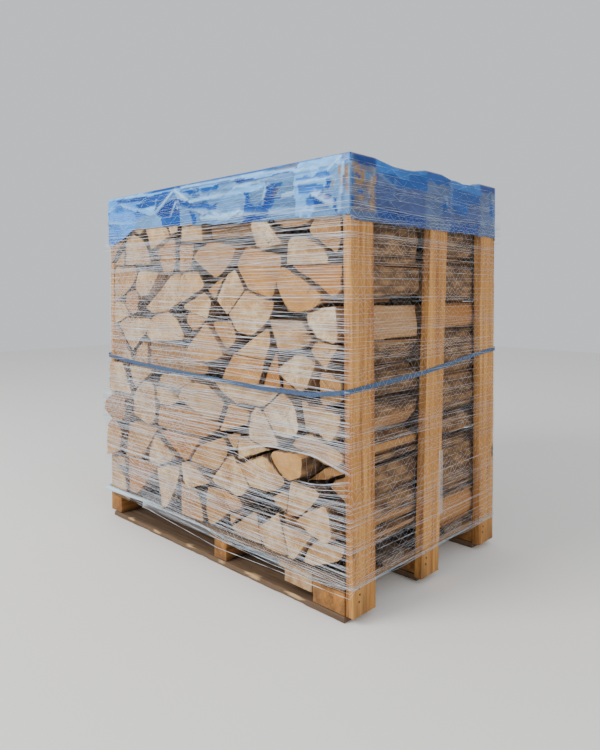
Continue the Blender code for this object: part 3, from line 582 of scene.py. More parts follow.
# The worn rim of a sawn end, as (back from the end, in from the side) in millimetres
RIM = ((0.0, 5.0), (0.0, 1.6), (1.4, 0.0))
CAP_RINGS = (0.75, 0.5, 0.25)   # rings inside a sawn end, as shares of the way out from the middle


def pressed_in(x, z, y, finish, seed):
    """How far the surface lies inside the CAD outline: bark is lumpy, a split face is ridged lengthwise."""
    if finish == BARK:
        broad = noise.noise(Vector((x * 28 + seed, y * 9, z * 28)))
        fine = noise.noise(Vector((x * 95 + seed, y * 34, z * 95)))
        return (2.2 + 2.6 * broad + 2.2 * abs(fine)) * MM
    broad = noise.noise(Vector((x * 24 + seed, y * 3, z * 24)))
    fine = noise.noise(Vector((x * 120 + seed, y * 5, z * 120)))
    return (2.0 + 2.4 * broad + 1.6 * abs(fine)) * MM


def build_log(outline, y_end, side, row):
    """One closed log: vertices, faces, the finish of each face, and its pith."""
    pith, bark = pith_and_bark(outline)
    walked = walk_outline(outline, bark, row)
    count = len(walked)
    middle = sum(outline, Vector((0, 0))) / len(outline)
    seed, slack, taper = rng.uniform(0, 60), rng.uniform(0.2, 2.2) * MM, rng.uniform(0, 6) * MM
    if abs(y_end) < MOST_PUSHED:
        y_end -= side * rng.uniform(0, 16) * MM
    edge_x = max((point.x for point in outline), key=abs)
    looks_out = abs(edge_x) > FLANK
    skew = (1 if edge_x > 0 else -1) * (STACK_END + 1 * MM) - edge_x if looks_out else 0.0
    length = LOG_LENGTH + (LONGER_MM * MM if looks_out else 0.0)
    tilt = rng.normal(0, 0.010, 2)
    rim_back = [(back * MM, inset * MM) for back, inset in RIM]
    shares = np.arange(1, SECTIONS) / SECTIONS
    stations = [(back, 0.0, inset) for back, inset in rim_back]
    stations += [(share * length, share, 0.0) for share in shares]
    stations += [(length - back, 1.0, inset) for back, inset in reversed(rim_back)]
    verts = []
    for back, share, inset in stations:
        y = y_end - side * back
        for x, z, inward_x, inward_z, finish, belly in walked:
            press = slack + taper * share + pressed_in(x, z, y, finish, seed)
            press = press * (RESTING if abs(inward_z) > 0.96 else 1.0) + belly
            if min(abs(share - 0.5), abs(share - 0.2)) < TOUCHING and abs(x) < STACK_END - 12 * MM:
                press = 0.0
            toward = Vector((middle.x - x, middle.y - z)).normalized() * inset
            px, pz = x + inward_x * press + toward.x, z + inward_z * press + toward.y
            fuzz = side * (1 + noise.noise((x * 60, seed, z * 60))) * MM / 2
            lean = (px - middle.x) * tilt[0] + (pz - middle.y) * tilt[1] - fuzz
            verts.append((px + skew * share, y + lean * (1 - share), pz))
    faces, finishes = [], []
    last = len(stations) - 1
    for level in range(last):
        ends = min(level, last - 1 - level)
        for index in range(count):
            after = (index + 1) % count
            low, high = level * count, (level + 1) * count
            faces.append((low + index, low + after, high + after, high + index))
            finish = walked[index][4]
            thick = noise.noise((walked[index][0] * 7, seed, walked[index][1] * 7)) > -0.05
            on_end = ends == 0 and not (finish == BARK and thick) or ends == 1 and finish == SPLIT
            finishes.append(END if on_end else finish)
    for first in (0, last * count):
        edge = [Vector(verts[first + index]) for index in range(count)]
        heart = sum(edge, Vector()) / count
        previous = first
        for share in CAP_RINGS:
            start = len(verts)
            for point in edge:
                spot = heart.lerp(point, share)
                spot.y += noise.noise(spot * 45) * 0.5 * MM
                verts.append(tuple(spot))
            for index in range(count):
                after = (index + 1) % count
                faces.append((previous + index, previous + after, start + after, start + index))
                finishes.append(END)
            previous = start
        verts.append(tuple(heart))
        faces += [(previous + index, previous + (index + 1) % count, len(verts) - 1)
                  for index in range(count)]
        finishes += [END] * count
    return verts, faces, finishes, pith, seed


# Painted shade: log wood that lies deeper in the stack than this is seen only through the gaps, and is
# painted browner.
SHADED_INSIDE_Y = 0.38              # nearer the middle of the stack than this, the wood is browner


def wood_at(tone, x, y, z, pith, seed):
    """The wood's colour at one point, in linear light: its tone, with a slow drift, its own marks, and
    painted shade where it lies deep in the stack.
    """
    colour = np.array(linear(WOODS[tone]))
    far = (Vector((x, z)) - pith).length
    fine = 0.6 * noise.noise(Vector((x * 34, seed, z * 34)))
    drift = noise.noise(Vector((x * 13 + seed, y * 3, z * 13))) + fine
    browned = min(1.0, max(0.0, 0.16 + 0.85 * drift))
    colour = colour * (1 - browned) + np.array(linear("#A06A30")) * browned
    colour[:3] *= 1 - 0.12 * drift
    # painted shade inside the stack
    if abs(y) < SHADED_INSIDE_Y:
        colour = 0.5 * colour + 0.5 * np.array(linear("#B98950"))
    dark = 0.0
    if tone == "h":
        dark = max(0.0, min(1.0, (26 * MM - far) / (12 * MM)))
    if tone in "sm":
        dark = max(0.0, noise.noise(Vector((x * 10 + seed, y * 2, z * 48)))) * 1.6
    return colour * (1 - dark) + np.array(linear("#6B4526")) * dark


print("log length", round(LOG_LENGTH / MM), "mm in", SECTIONS, "sections")

# %% Build every course
def build_course(node, logs):
    """All logs of one course in one mesh, with their wood colour, painted shade deep in the stack included,
    and pith on the points.
    """
    row = "front" if "front" in node else "back"
    if row == "front":
        tones = TONES[node.split("_", 2)[2]]
    else:
        tones = [ANY_TONE[index] for index in rng.integers(len(ANY_TONE), size=len(logs))]
    verts, faces, finishes, colours, from_pith = [], [], [], [], []
    for (y_end, side, outline), tone in zip(logs, tones):
        points, quads, kinds, pith, seed = build_log(outline, y_end, side, row)
        base = len(verts)
        verts += points
        faces += [tuple(base + index for index in quad) for quad in quads]
        finishes += [BARK if tone == "k" and kind == SPLIT else kind for kind in kinds]
        colours += [wood_at(tone, *point, pith, seed) for point in points]
        from_pith += [(x - pith.x, seed, z - pith.y) for x, y, z in points]
    mesh = bpy.data.meshes.new(node)
    mesh.from_pydata(verts, [], faces)
    for material in LOG_FINISHES:
        mesh.materials.append(material)
    mesh.polygons.foreach_set("material_index", finishes)
    mesh.attributes.new("wood_colour_and_shade", "FLOAT_COLOR", "POINT").data.foreach_set("color", np.ravel(colours))
    mesh.attributes.new("from_pith", "FLOAT_VECTOR", "POINT").data.foreach_set("vector", np.ravel(from_pith))
    shape = bmesh.new()
    shape.from_mesh(mesh)
    bmesh.ops.recalc_face_normals(shape, faces=shape.faces)
    shape.to_mesh(mesh)
    shape.free()
    shade(mesh, 42)
    return mesh


total = 0
for node, logs in course_logs.items():
    mesh = build_course(node, logs)
    total += len(mesh.polygons)
    add_piece(node + "_logs", mesh, [node])
print("faces of all logs:", total)

# %% [markdown]
# ## The blue film
#
# The film is a thin sheet laid over the battens and pulled down on all four sides by
# the net, so it lies flat where it is held, sags between the battens and gathers in
# sharp folds at its skirt. It starts as a grid over the top. Its rim is drawn down in
# rows to the hem that the CAD film shows, and then each point is moved outwards by the
# height of the nearest folds.

# %% The film's lines, read from the CAD
film_low, film_high = (Vector(corner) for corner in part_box("blue_film_cover"))
film_points = np.array([vert.co for vert in nodes["blue_film_cover"].data.vertices])


def lowest_along(points, axis):
    """The lower edge of some points along one axis, as two arrays."""
    lowest = {}
    for point in points:
        key = round(point[axis], 3)
        lowest[key] = min(lowest.get(key, 9.0), point[2])
    return np.array(sorted(lowest)), np.array([lowest[key] for key in sorted(lowest)])


skirt_points = film_points[film_points[:, 2] < film_low.z + 90 * MM]
front_hem = lowest_along(skirt_points[skirt_points[:, 1] < film_low.y + 0.2 * MM], 0)
end_hem = lowest_along(skirt_points[skirt_points[:, 0] > film_high.x - 0.2 * MM], 1)
crown = film_points[film_points[:, 2] > film_high.z - 20 * MM] * (1, 1, -1)
top_line = lowest_along(crown, 1)
print("hem along the front, mm:", np.round(front_hem[1] / MM).astype(int).tolist())

# %% The film's folds
FOLD_WIDTH_MM = 17
# A painted highlight runs along each fold's crest, twice CREST_MM wide.
CREST_MM = 4                    # half the width of the bright line along a fold's crest
# Each fold as (x, z, x, z, height) in mm on the front, from where it starts to where it fades out
FRONT_FOLDS = (
    (-145, 1250, -272, 1180, 10), (-140, 1204, -172, 1160, 8), (-330, 1252, -560, 1262, 5),
    (-60, 1200, 165, 1207, 6), (170, 1222, 440, 1237, 6), (316, 1208, 298, 1158, 8),
    (430, 1237, 600, 1241, 6), (435, 1201, 560, 1204, 6), (500, 1166, 572, 1128, 6),
    (560, 1226, 604, 1262, 7), (612, 1240, 596, 1110, 6), (-495, 1232, -465, 1214, 7),
    (-490, 1228, -395, 1200, 5), (-600, 1212, -560, 1222, 5), (-145, 1250, -85, 1208, 6),
    (-590, 1168, -400, 1152, 4), (-110, 1254, 430, 1250, 5), (215, 1136, 320, 1128, 4),
    (0, 1140, 210, 1136, 4), (330, 1128, 500, 1122, 4),
)
# The same on the right-hand end, as (y, z, y, z, height)
END_FOLDS = (
    (-318, 1228, -348, 1132, 6), (-408, 1262, -404, 1150, 4), (-286, 1222, -215, 1192, 4),
    (62, 1190, 80, 1150, 4), (-190, 1160, -165, 1190, 3), (-240, 1150, -215, 1172, 3),
    (96, 1236, 96, 1100, 3), (388, 1230, 404, 1120, 4),
)
fold_rng = np.random.default_rng(5)


def some_folds(count, half):
    """Random folds of a skirt, in the same form as the drawn ones."""
    starts = fold_rng.uniform((-half, 1110), (half, 1262), (count, 2))
    runs = fold_rng.uniform((-90, -45), (90, 25), (count, 2))
    heights = fold_rng.uniform(2, 6, count)
    return [(*start, *(start + run), height) for start, run, height in zip(starts, runs, heights)]


FOLDS = {"front": FRONT_FOLDS + tuple(some_folds(12, 600)), "back": some_folds(40, 600),
         "left": some_folds(24, 400), "right": END_FOLDS + tuple(some_folds(5, 380))}


def nearest_fold(u, z, folds):
    """How far the nearest fold lifts the film, and its painted light: 1 for a painted highlight on its crest,
    -1 for painted shade below it.
    """
    here = Vector((u / MM, z / MM))
    tallest, lit = 0.0, 0.0
    for x0, z0, x1, z1, height in folds:
        start, run = Vector((x0, z0)), Vector((x1 - x0, z1 - z0))
        share = max(0.0, min(1.0, (here - start).dot(run) / run.length_squared))
        off = here - start - run * share
        away = off.length
        lift = height * (1 - 0.6 * share) * max(0.0, 1 - away / FOLD_WIDTH_MM)
        if away < FOLD_WIDTH_MM:
            strength = (1 - 0.6 * share) * min(1.0, height / 5)
            shine = (0.4 if off.y > 0 else -1.0) * strength * (1 - away / FOLD_WIDTH_MM)
            if away < CREST_MM:
                shine = strength
            lit = shine if abs(shine) > abs(lit) else lit
        tallest = max(tallest, lift)
    return tallest * MM, lit


print("folds:", {side: len(folds) for side, folds in FOLDS.items()})

# %% [markdown]
# Stretched polythene film is glossy and lets some light through. Where it lies on a log,
# a post or a batten, that shows through it as grey-blue. Where it hangs free it is a
# clear blue, and where it is gathered or doubled it is deep blue. Painted highlights run
# along the crests of its folds, with painted shade below them, and its two ends are
# painted darker. The large patches of the two sides that the photograph shows are drawn
# as outlines, and noise makes the rest.

# %% The film's colours
# s sky and w pale, painted highlights; a azure, c clear, m middle; d deep, the blue of
# gathered film, also used as painted shade; g and h over a log, q over a post; l slate,
# the shaded gap behind the film, painted; r mauve, o pine that shows through, p the same in shade
FILM_TONES = {letter: linear(code) for letter, code in {
    "s": "#78BFFF", "a": "#4696EA", "c": "#2072C8", "m": "#044E9E", "d": "#053C8A", "w": "#9AC8EE",
    "g": "#6293C6", "h": "#527CA8", "q": "#566B96", "l": "#42568C", "r": "#4E5070", "o": "#9A7B58",
    "p": "#69687A",
}.items()}
# Each patch as its tone and its outline, in mm: x, z on the front and y, z on the right-hand end
FILM_PATCHES = {
    "front": (
        ("a", -632, 1270, -380, 1270, -400, 1170, -395, 1030, -632, 1030),
        ("s", -600, 1270, -500, 1262, -430, 1252, -600, 1256),
        ("m", -545, 1251, -440, 1246, -332, 1254, -330, 1238, -440, 1234, -520, 1238),
        ("d", -440, 1244, -400, 1244, -390, 1237, -440, 1237),
        ("c", -540, 1230, -490, 1230, -480, 1205, -550, 1205),
        ("m", -400, 1222, -272, 1227, -275, 1212, -330, 1209, -400, 1216),
        ("s", -410, 1208, -276, 1208, -268, 1186, -300, 1171, -335, 1180),
        ("c", -412, 1198, -350, 1188, -300, 1172, -402, 1174),
        ("g", -402, 1172, -250, 1178, -238, 1122, -372, 1124, -400, 1150),
        ("m", -276, 1188, -268, 1216, -246, 1243, -162, 1249, -192, 1232, -236, 1204),
        ("d", -262, 1178, -240, 1167, -118, 1164, -114, 1186, -140, 1202, -104, 1204, -132, 1222, -166, 1219,
         -204, 1209), ("m", -240, 1166, -118, 1166, -118, 1118, -218, 1118),
        ("w", -150, 1249, -120, 1243, -66, 1206, -95, 1202, -134, 1220),
        ("g", -118, 1192, -70, 1182, -48, 1118, -118, 1118),
        ("s", -330, 1256, 440, 1252, 430, 1241, -80, 1240, -150, 1250, -330, 1246),
        ("m", -100, 1264, 430, 1264, 440, 1256, -100, 1257),
        ("r", 340, 1260, 445, 1258, 440, 1248, 360, 1250), ("m", -90, 1240, -16, 1240, -14, 1229, -62, 1226),
        ("m", -52, 1223, -10, 1223, -14, 1213, -50, 1214), ("m", -2, 1241, 92, 1241, 86, 1227, 0, 1228),
        ("g", 92, 1245, 172, 1243, 200, 1226, 90, 1224), ("h", 0, 1226, 240, 1224, 160, 1216, 0, 1220),
        ("s", -70, 1203, 0, 1211, 120, 1204, 170, 1221, 312, 1223, 310, 1211, 222, 1201, 100, 1197, -60,
         1194),
        ("m", -88, 1192, -20, 1187, 20, 1193, 48, 1176, 84, 1184, 80, 1165, 0, 1171, -40, 1176, -88, 1184),
        ("g", 84, 1194, 215, 1196, 215, 1118, -22, 1118, -38, 1170, 78, 1164),
        ("w", 0, 1152, 215, 1148, 215, 1126, 0, 1131), ("w", 40, 1212, 125, 1210, 110, 1203, 60, 1205),
        ("d", 165, 1243, 300, 1240, 432, 1240, 440, 1252, 452, 1248, 446, 1236, 400, 1231, 300, 1227, 196,
         1226), ("h", 236, 1201, 312, 1213, 312, 1176, 276, 1156, 262, 1155, 244, 1166),
        ("m", 213, 1203, 233, 1201, 244, 1164, 262, 1152, 256, 1141, 224, 1144),
        ("m", 224, 1148, 262, 1150, 300, 1164, 330, 1166, 318, 1118, 228, 1118),
        ("d", 296, 1164, 324, 1201, 346, 1204, 360, 1198, 336, 1162, 318, 1141, 288, 1141),
        ("m", 312, 1222, 330, 1212, 392, 1213, 386, 1202, 318, 1200), ("r", 346, 1198, 382, 1200, 340, 1170),
        ("h", 388, 1218, 434, 1217, 432, 1186, 372, 1180, 360, 1190),
        ("h", 350, 1168, 434, 1178, 432, 1138, 336, 1138), ("w", 380, 1180, 434, 1188, 434, 1172, 378, 1168),
        ("g", 322, 1140, 440, 1138, 440, 1096, 318, 1098),
        ("s", 430, 1222, 440, 1256, 600, 1264, 612, 1240, 566, 1222, 545, 1186, 520, 1160, 498, 1112, 434,
         1116), ("c", 434, 1222, 482, 1223, 500, 1212, 520, 1226, 562, 1222, 560, 1205, 500, 1209, 434, 1212),
        ("c", 446, 1196, 540, 1191, 546, 1181, 502, 1170, 446, 1172),
        ("c", 470, 1156, 520, 1160, 540, 1140, 500, 1136, 486, 1124),
        ("g", 500, 1112, 524, 1146, 546, 1182, 592, 1232, 632, 1236, 632, 1080, 500, 1090),
        ("d", 500, 1162, 546, 1139, 504, 1136), ("d", 545, 1162, 572, 1160, 560, 1148, 540, 1150),
        ("o", 590, 1230, 603, 1236, 613, 1190, 602, 1176), ("o", 614, 1226, 626, 1234, 630, 1150, 620, 1160),
        ("o", 572, 1200, 580, 1196, 566, 1176), ("m", 556, 1206, 570, 1200, 560, 1176, 546, 1180),
        ("m", 570, 1150, 580, 1150, 592, 1112, 580, 1112),
    ),
    "right": (
        ("c", -310, 1280, -20, 1280, -36, 1226, -300, 1224),
        ("m", -296, 1228, -150, 1227, -140, 1240, -30, 1250, -46, 1198, -120, 1201, -222, 1197, -284, 1222),
        ("q", -292, 1222, -276, 1216, -222, 1196, -292, 1192),
        ("c", 30, 1280, 312, 1280, 318, 1226, 92, 1224),
        ("m", 92, 1230, 296, 1224, 288, 1194, 222, 1190, 214, 1150, 140, 1148, 100, 1170),
        ("d", -300, 1124, -55, 1122, -55, 1094, -300, 1104),
        ("l", -300, 1104, -55, 1094, -55, 1070, -300, 1070), ("d", 92, 1124, 292, 1122, 272, 1070, 92, 1070),
        ("q", -420, 1242, -308, 1242, -306, 1060, -420, 1060),
        ("p", -420, 1242, -308, 1242, -306, 1112, -420, 1112),
        ("o", -410, 1236, -396, 1238, -372, 1196, -384, 1176),
        ("o", -394, 1240, -380, 1240, -358, 1190, -368, 1178),
        ("o", -366, 1226, -358, 1230, -346, 1186, -354, 1176),
        ("m", -414, 1214, -402, 1206, -404, 1180, -416, 1186),
        ("o", -326, 1216, -308, 1218, -310, 1120, -330, 1118),
        ("o", -342, 1178, -328, 1216, -322, 1210, -336, 1150), ("o", -388, 1148, -366, 1166, -360, 1142),
        ("m", -392, 1212, -374, 1206, -382, 1190), ("m", -388, 1172, -358, 1170, -366, 1157),
        ("m", -416, 1158, -402, 1152, -404, 1124, -416, 1120),
        ("h", -352, 1222, -334, 1228, -340, 1206, -350, 1200),
        ("d", -420, 1280, -304, 1280, -304, 1242, -420, 1242),
        ("q", -46, 1233, 92, 1233, 92, 1060, -46, 1060), ("m", -40, 1280, 96, 1280, 92, 1233, -44, 1233),
        ("l", 40, 1180, 92, 1190, 92, 1120, 60, 1100), ("m", 36, 1170, 60, 1176, 58, 1144, 48, 1144),
        ("m", 62, 1178, 76, 1180, 72, 1166, 60, 1168), ("q", 312, 1239, 420, 1239, 420, 1060, 290, 1060),
        ("m", 366, 1198, 420, 1196, 420, 1154, 396, 1152, 378, 1168),
        ("d", 304, 1280, 420, 1280, 420, 1241, 304, 1241),
    ),
}
WOBBLE_MM = 5                   # how far noise bends the outlines of the patches
# The colour of the painted highlight on a fold's crest
PAINTED_HIGHLIGHT_BLUE = linear("#9CCBF4")
crown_logs = {side: [outline for node, logs in course_logs.items() if f"{side}_course_1" in node
                     for _, _, outline in logs] for side in ("front", "back")}
POSTS_Y = [(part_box(node)[0][1] + 8 * MM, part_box(node)[1][1] - 8 * MM)
           for node in board_names if "post_right" in node]


def inside(outline, x, z):
    """Whether a place is inside a polygon, by counting the sides to its right."""
    sides = zip(outline, outline[1:] + outline[:1])
    crossed = [(z0 > z) != (z1 > z) and x < x0 + (z - z0) * (x1 - x0) / (z1 - z0)
               for (x0, z0), (x1, z1) in sides]
    return sum(crossed) % 2 == 1


def mixed(first, second, share):
    """A colour between two colours."""
    share = max(0.0, min(1.0, share))
    return [a * (1 - share) + b * share for a, b in zip(first, second)]


def patch_tone(side, along, height):
    """The tone of the last drawn patch that covers a place, or None."""
    bend = noise.noise_vector(Vector((along * 11, height * 30, 4.0))) * WOBBLE_MM
    tone = None
    for letter, *flat in FILM_PATCHES.get(side, ()):
        if inside(list(zip(flat[::2], flat[1::2])), along / MM + bend.x, height / MM + bend.y):
            tone = letter
    return tone


def film_colour_and_light(side, along, height, lit, seed):
    """The film's colour at one place of its skirt, with a painted highlight on each fold's crest, painted
    shade below it, and its two ends painted darker.
    """
    patch = noise.noise(Vector((along * 6, height * 16, seed)))
    if side in crown_logs:
        spot = along if side == "front" else -along
        touching = any(inside(outline, spot, height) for outline in crown_logs[side])
        tone = "g" if touching and patch > -0.25 else "s" if patch > 0.22 else "c" if patch > -0.1 else "m"
    else:
        touching = any(low < (along if side == "right" else -along) < high for low, high in POSTS_Y)
        tone = "q" if touching else "m" if patch > 0.2 and side == "left" else "l"
    colour = FILM_TONES[patch_tone(side, along, height) or tone]
    # Painted shade below each fold, mixed with deep blue that varies at random, and a painted highlight on
    # each fold's crest
    darker = 0.05 - 0.5 * patch - 0.9 * lit if side in crown_logs else -0.3 * patch - 0.4 * lit
    shadow = mixed(colour, FILM_TONES["d"], darker)
    colour = mixed(shadow, PAINTED_HIGHLIGHT_BLUE, (0.8 if side in crown_logs else 0.3) * lit)
    # Painted shade: the two ends are painted a fifth darker than the front and back
    return colour if side in crown_logs else [0.8 * part for part in colour[:3]] + [1.0]


print("patches drawn:", {side: len(patches) for side, patches in FILM_PATCHES.items()})

# %% Lay the film
FILM_CELLS = (216, 84)
SKIRT_ROWS = 42
EDGE_ROUND = 2.6 * MM
SHOULDER = 600 * MM
SHORT_CORNER = 1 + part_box("post_left_front")[0][1] / film_high.y
SIDE_SEED = {"front": 0.0, "back": 3.7, "left": 7.4, "right": 11.1}


def side_of(x, y):
    """The side of the film that a rim point hangs on, its place along that side, and the way out."""
    if abs(abs(y) - film_high.y) < 1e-6:
        return ("front", x, Vector((0, -1, 0))) if y < 0 else ("back", -x, Vector((0, 1, 0)))
    return ("left", -y, Vector((-1, 0, 0))) if x < 0 else ("right", y, Vector((1, 0, 0)))


def lay_crown(x, y):
    """Height and colour of the film over the top, deeper blue along its creases, partly doubled film and
    partly painted shade.
    """
    crest = -np.interp(abs(y), top_line[0], top_line[1])
    slack = min(1.0, (film_high.z - crest) / (8 * MM))
    wrinkle = noise.noise(Vector((x * 9, y * 22, 1.0)))
    crease = abs(noise.noise(Vector((x * 26, y * 12, 7.0))))
    colour = mixed(FILM_TONES["c"], FILM_TONES["g"], 0.8 * (1 - slack) + wrinkle)
    # Deeper blue along the creases: partly doubled film, partly painted shade
    deep = mixed(colour, FILM_TONES["d"], 0.5 - 4 * crease)
    return crest + (0.5 + wrinkle * (0.4 + 2.4 * slack) - 3 * crease * slack) * MM, deep


def lay_skirt(x, y, row):
    """Place and colour of the film on a side, at one share of the way down to its hem."""
    side, along, out = side_of(x, y)
    seed = SIDE_SEED[side]
    hem = np.interp(along, *front_hem) if side in crown_logs else np.interp(along, *end_hem)
    hem += 5 * MM * noise.noise(Vector((along * 22, seed, 0)))
    top = -np.interp(abs(y), top_line[0], top_line[1])
    height = top + (hem - top) * row
    spot = Vector((along * 12, height * 16, seed))
    fine = abs(noise.noise(spot)) * 2.6 * MM + (1 + noise.noise(spot * 2)) * 0.4 * MM
    fold, lit = nearest_fold(along, height, FOLDS[side])
    to_corner = film_high.x - abs(x) if side in crown_logs else film_high.y - abs(y)
    lift = (fold + fine) * min(1.0, row * 6) * min(1.0, to_corner / (12 * MM))
    colour = film_colour_and_light(side, along, height, lit, seed)
    place = Vector((x, y, height)) + out * lift
    if row == 0:
        place -= out * EDGE_ROUND
        place.z -= EDGE_ROUND
    return place, colour


def pulled_in(place):
    """The film cuts across the two corners whose post stands back from the front of the stack."""
    x, y, z = place
    past = max(0.0, abs(x) - SHOULDER) / (film_high.x - SHOULDER)
    return Vector((x, y * (1 - past * SHORT_CORNER), z)) if x * y > 0 else place


def lay_film():
    """The film as one open sheet: a crown that sags between the battens, and a folded skirt."""
    shape = bmesh.new()
    bmesh.ops.create_grid(shape, x_segments=FILM_CELLS[0], y_segments=FILM_CELLS[1], size=1)
    for vert in shape.verts:
        vert.co.x *= film_high.x
        vert.co.y *= film_high.y
    rows = [0.0] * len(shape.verts)
    for row in range(1, SKIRT_ROWS + 1):
        rim = [edge for edge in shape.edges if edge.is_boundary]
        made = bmesh.ops.extrude_edge_only(shape, edges=rim)["geom"]
        rows += [row / SKIRT_ROWS] * sum(isinstance(item, bmesh.types.BMVert) for item in made)
    colours = []
    for vert, row in zip(shape.verts, rows):
        x, y = vert.co.x, vert.co.y
        if abs(abs(x) - film_high.x) < 1e-6 or abs(abs(y) - film_high.y) < 1e-6:
            vert.co, colour = lay_skirt(x, y, row)
        else:
            vert.co.z, colour = lay_crown(x, y)
        vert.co = pulled_in(vert.co)
        colours.append(colour)
    bmesh.ops.recalc_face_normals(shape, faces=shape.faces)
    area = sum(face.calc_area() for face in shape.faces)
    # Extruding makes the faces in another order on each run, so they are put in order here
    shape.verts.index_update()
    faces = sorted([vert.index for vert in face.verts] for face in shape.faces)
    mesh = bpy.data.meshes.new("blue_film")
    mesh.from_pydata([vert.co for vert in shape.verts], [], faces)
    shape.free()
    mesh.attributes.new("film_colour_and_light", "FLOAT_COLOR", "POINT").data.foreach_set("color", np.ravel(colours))
    return mesh, area


film_mesh, film_area = lay_film()

# %% The film's finish
def polythene(name):
    """Blown polythene film, dyed blue: smooth, glossy, thin enough to see through, with painted light and
    shade on its facets.
    """
    material, tree, shader, place = start_material(name)
    colour = add(tree, "ShaderNodeAttribute", attribute_name="film_colour_and_light").outputs["Color"]
    warp = add(tree, "ShaderNodeTexNoise",
               {"Vector": place, "Scale": 1 / (60 * MM), "Detail": 2.0}).outputs["Color"]
    bent = add(tree, "ShaderNodeVectorMath", {0: warp, 1: (0.05, 0.05, 0.05), 2: place},
               operation="MULTIPLY_ADD")
    facet_map = (1 / (42 * MM), 1 / (42 * MM), 1 / (17 * MM))
    tilted = add(tree, "ShaderNodeMapping", {"Vector": bent.outputs[0], "Rotation": (0.5, 0.4, 0.3),
                                             "Scale": facet_map}).outputs[0]
    facets = add(tree, "ShaderNodeTexVoronoi", {"Vector": tilted, "Scale": 1.0})
    # Painted light and shade: each facet of the crumpled film is painted between 0.86 and 1.10 of its colour.
    tone = add(tree, "ShaderNodeMapRange",
               {0: facets.outputs["Color"], 1: 0.3, 2: 0.7, 3: 0.86, 4: 1.10}).outputs[0]
    facet_light_and_shade = add(tree, "ShaderNodeMix", {0: 1.0, 6: colour, 7: tone}, data_type="RGBA",
                  blend_type="MULTIPLY")
    tree.links.new(facet_light_and_shade.outputs[2], shader.inputs["Base Color"])
    bump = add(tree, "ShaderNodeBump",
               {"Height": facets.outputs["Distance"], "Distance": 0.002, "Strength": 0.2})
    tree.links.new(bump.outputs[0], shader.inputs["Normal"])
    shader.inputs["Roughness"].default_value = 0.24
    shader.inputs["IOR"].default_value = 1.51
    shader.inputs["Specular IOR Level"].default_value = 0.3
    shader.inputs["Alpha"].default_value = 0.93
    return material


film_mesh.materials.append(polythene("blown_blue_polythene_film"))
shade(film_mesh, 60)
film = add_piece("blue_film", film_mesh, ["blue_film_cover"])
wall = film.modifiers.new("film thickness", "SOLIDIFY")
wall.thickness = 0.3 * MM
wall.offset = -1
print("film faces:", len(film_mesh.polygons))

# %% [markdown]
# ## Bands and yarns as node trees
#
# A strap and a net follow paths. The path is a mesh of points and edges, and a node tree
# turns it into a curve and draws a profile along it. The strap's profile is a flat
# rectangle held upright. The net's is a small round one, whose size each point may set.

# %% The strap
band_tree, given = new_tree("upright band", {"Geometry": "Geometry", "Width": "Float", "Thickness": "Float",
                                             "Step": "Float", "Material": "Material"})
path = add(band_tree, "GeometryNodeMeshToCurve", {0: given["Geometry"]}).outputs[0]
even = add(band_tree, "GeometryNodeResampleCurve", {"Curve": path, "Length": given["Step"]},
           mode="LENGTH").outputs[0]
upright = add(band_tree, "GeometryNodeSetCurveNormal", {0: even}, mode="Z_UP").outputs[0]
flat_bar = add(band_tree, "GeometryNodeCurvePrimitiveQuadrilateral", {"Width": given["Thickness"],
                                                                      "Height": given["Width"]}).outputs[0]
band = add(band_tree, "GeometryNodeCurveToMesh", {"Curve": upright, "Profile Curve": flat_bar}).outputs[0]
close_tree(band_tree, band, given["Material"])


def strap_path():
    """The strap's outer line, from the CAD strap, as a ring of points."""
    corners = {}
    for vert in nodes["binding_strap"].data.vertices:
        corners.setdefault((round(vert.co.x, 4), round(vert.co.y, 4)), []).append(vert.co.z)
    ring = sorted(corners, key=lambda spot: atan2(spot[1], spot[0]))
    spots = [Vector((*spot, (min(corners[spot]) + max(corners[spot])) / 2)) for spot in ring]
    kept = []
    for spot in spots:
        if kept and (spot - kept[-1]).length < 3 * MM:
            kept[-1] = max(kept[-1], spot, key=lambda place: place.xy.length)
        else:
            kept.append(spot)
    return kept


def path_mesh(name, rings, closed):
    """Several polylines as one mesh of points and edges."""
    points, edges = [], []
    for ring in rings:
        start = len(points)
        points += [tuple(point) for point in ring]
        edges += [(start + index, start + index + 1) for index in range(len(ring) - 1)]
        if closed:
            edges.append((start + len(ring) - 1, start))
    mesh = bpy.data.meshes.new(name)
    mesh.from_pydata(points, edges, [])
    return mesh


def woven_strap(name):
    """Polyester strap, woven and pressed flat: blue-grey, with fine lengthwise ribs, painted lighter as a
    painted sheen.
    """
    material, tree, shader, place = start_material(name)
    ribs = add(tree, "ShaderNodeTexNoise", {"Vector": place, "Scale": 1 / (3 * MM), "Detail": 2.0})
    # Painted sheen: the ribs are painted a lighter blue-grey where the noise is high.
    shine = add(tree, "ShaderNodeMapRange", {0: ribs.outputs[0], 1: 0.35, 2: 0.65}).outputs[0]
    colour = add(tree, "ShaderNodeMix", {0: shine, 6: linear("#1C2E44"), 7: linear("#3E5E88")},
                 data_type="RGBA")
    tree.links.new(colour.outputs[2], shader.inputs["Base Color"])
    shader.inputs["Roughness"].default_value = 0.42
    return material


strap_ring = strap_path()
strap_mesh = grown(band_tree, "strap", {"Width": 13 * MM, "Thickness": 1.0 * MM, "Step": 12 * MM,
                                        "Material": woven_strap("woven_polyester_strap")},
                   path_mesh("strap path", [strap_ring], True))
shade(strap_mesh, 40)
add_piece("woven_strap", strap_mesh, ["binding_strap"])
print("strap points:", len(strap_ring), "faces:", len(strap_mesh.polygons))

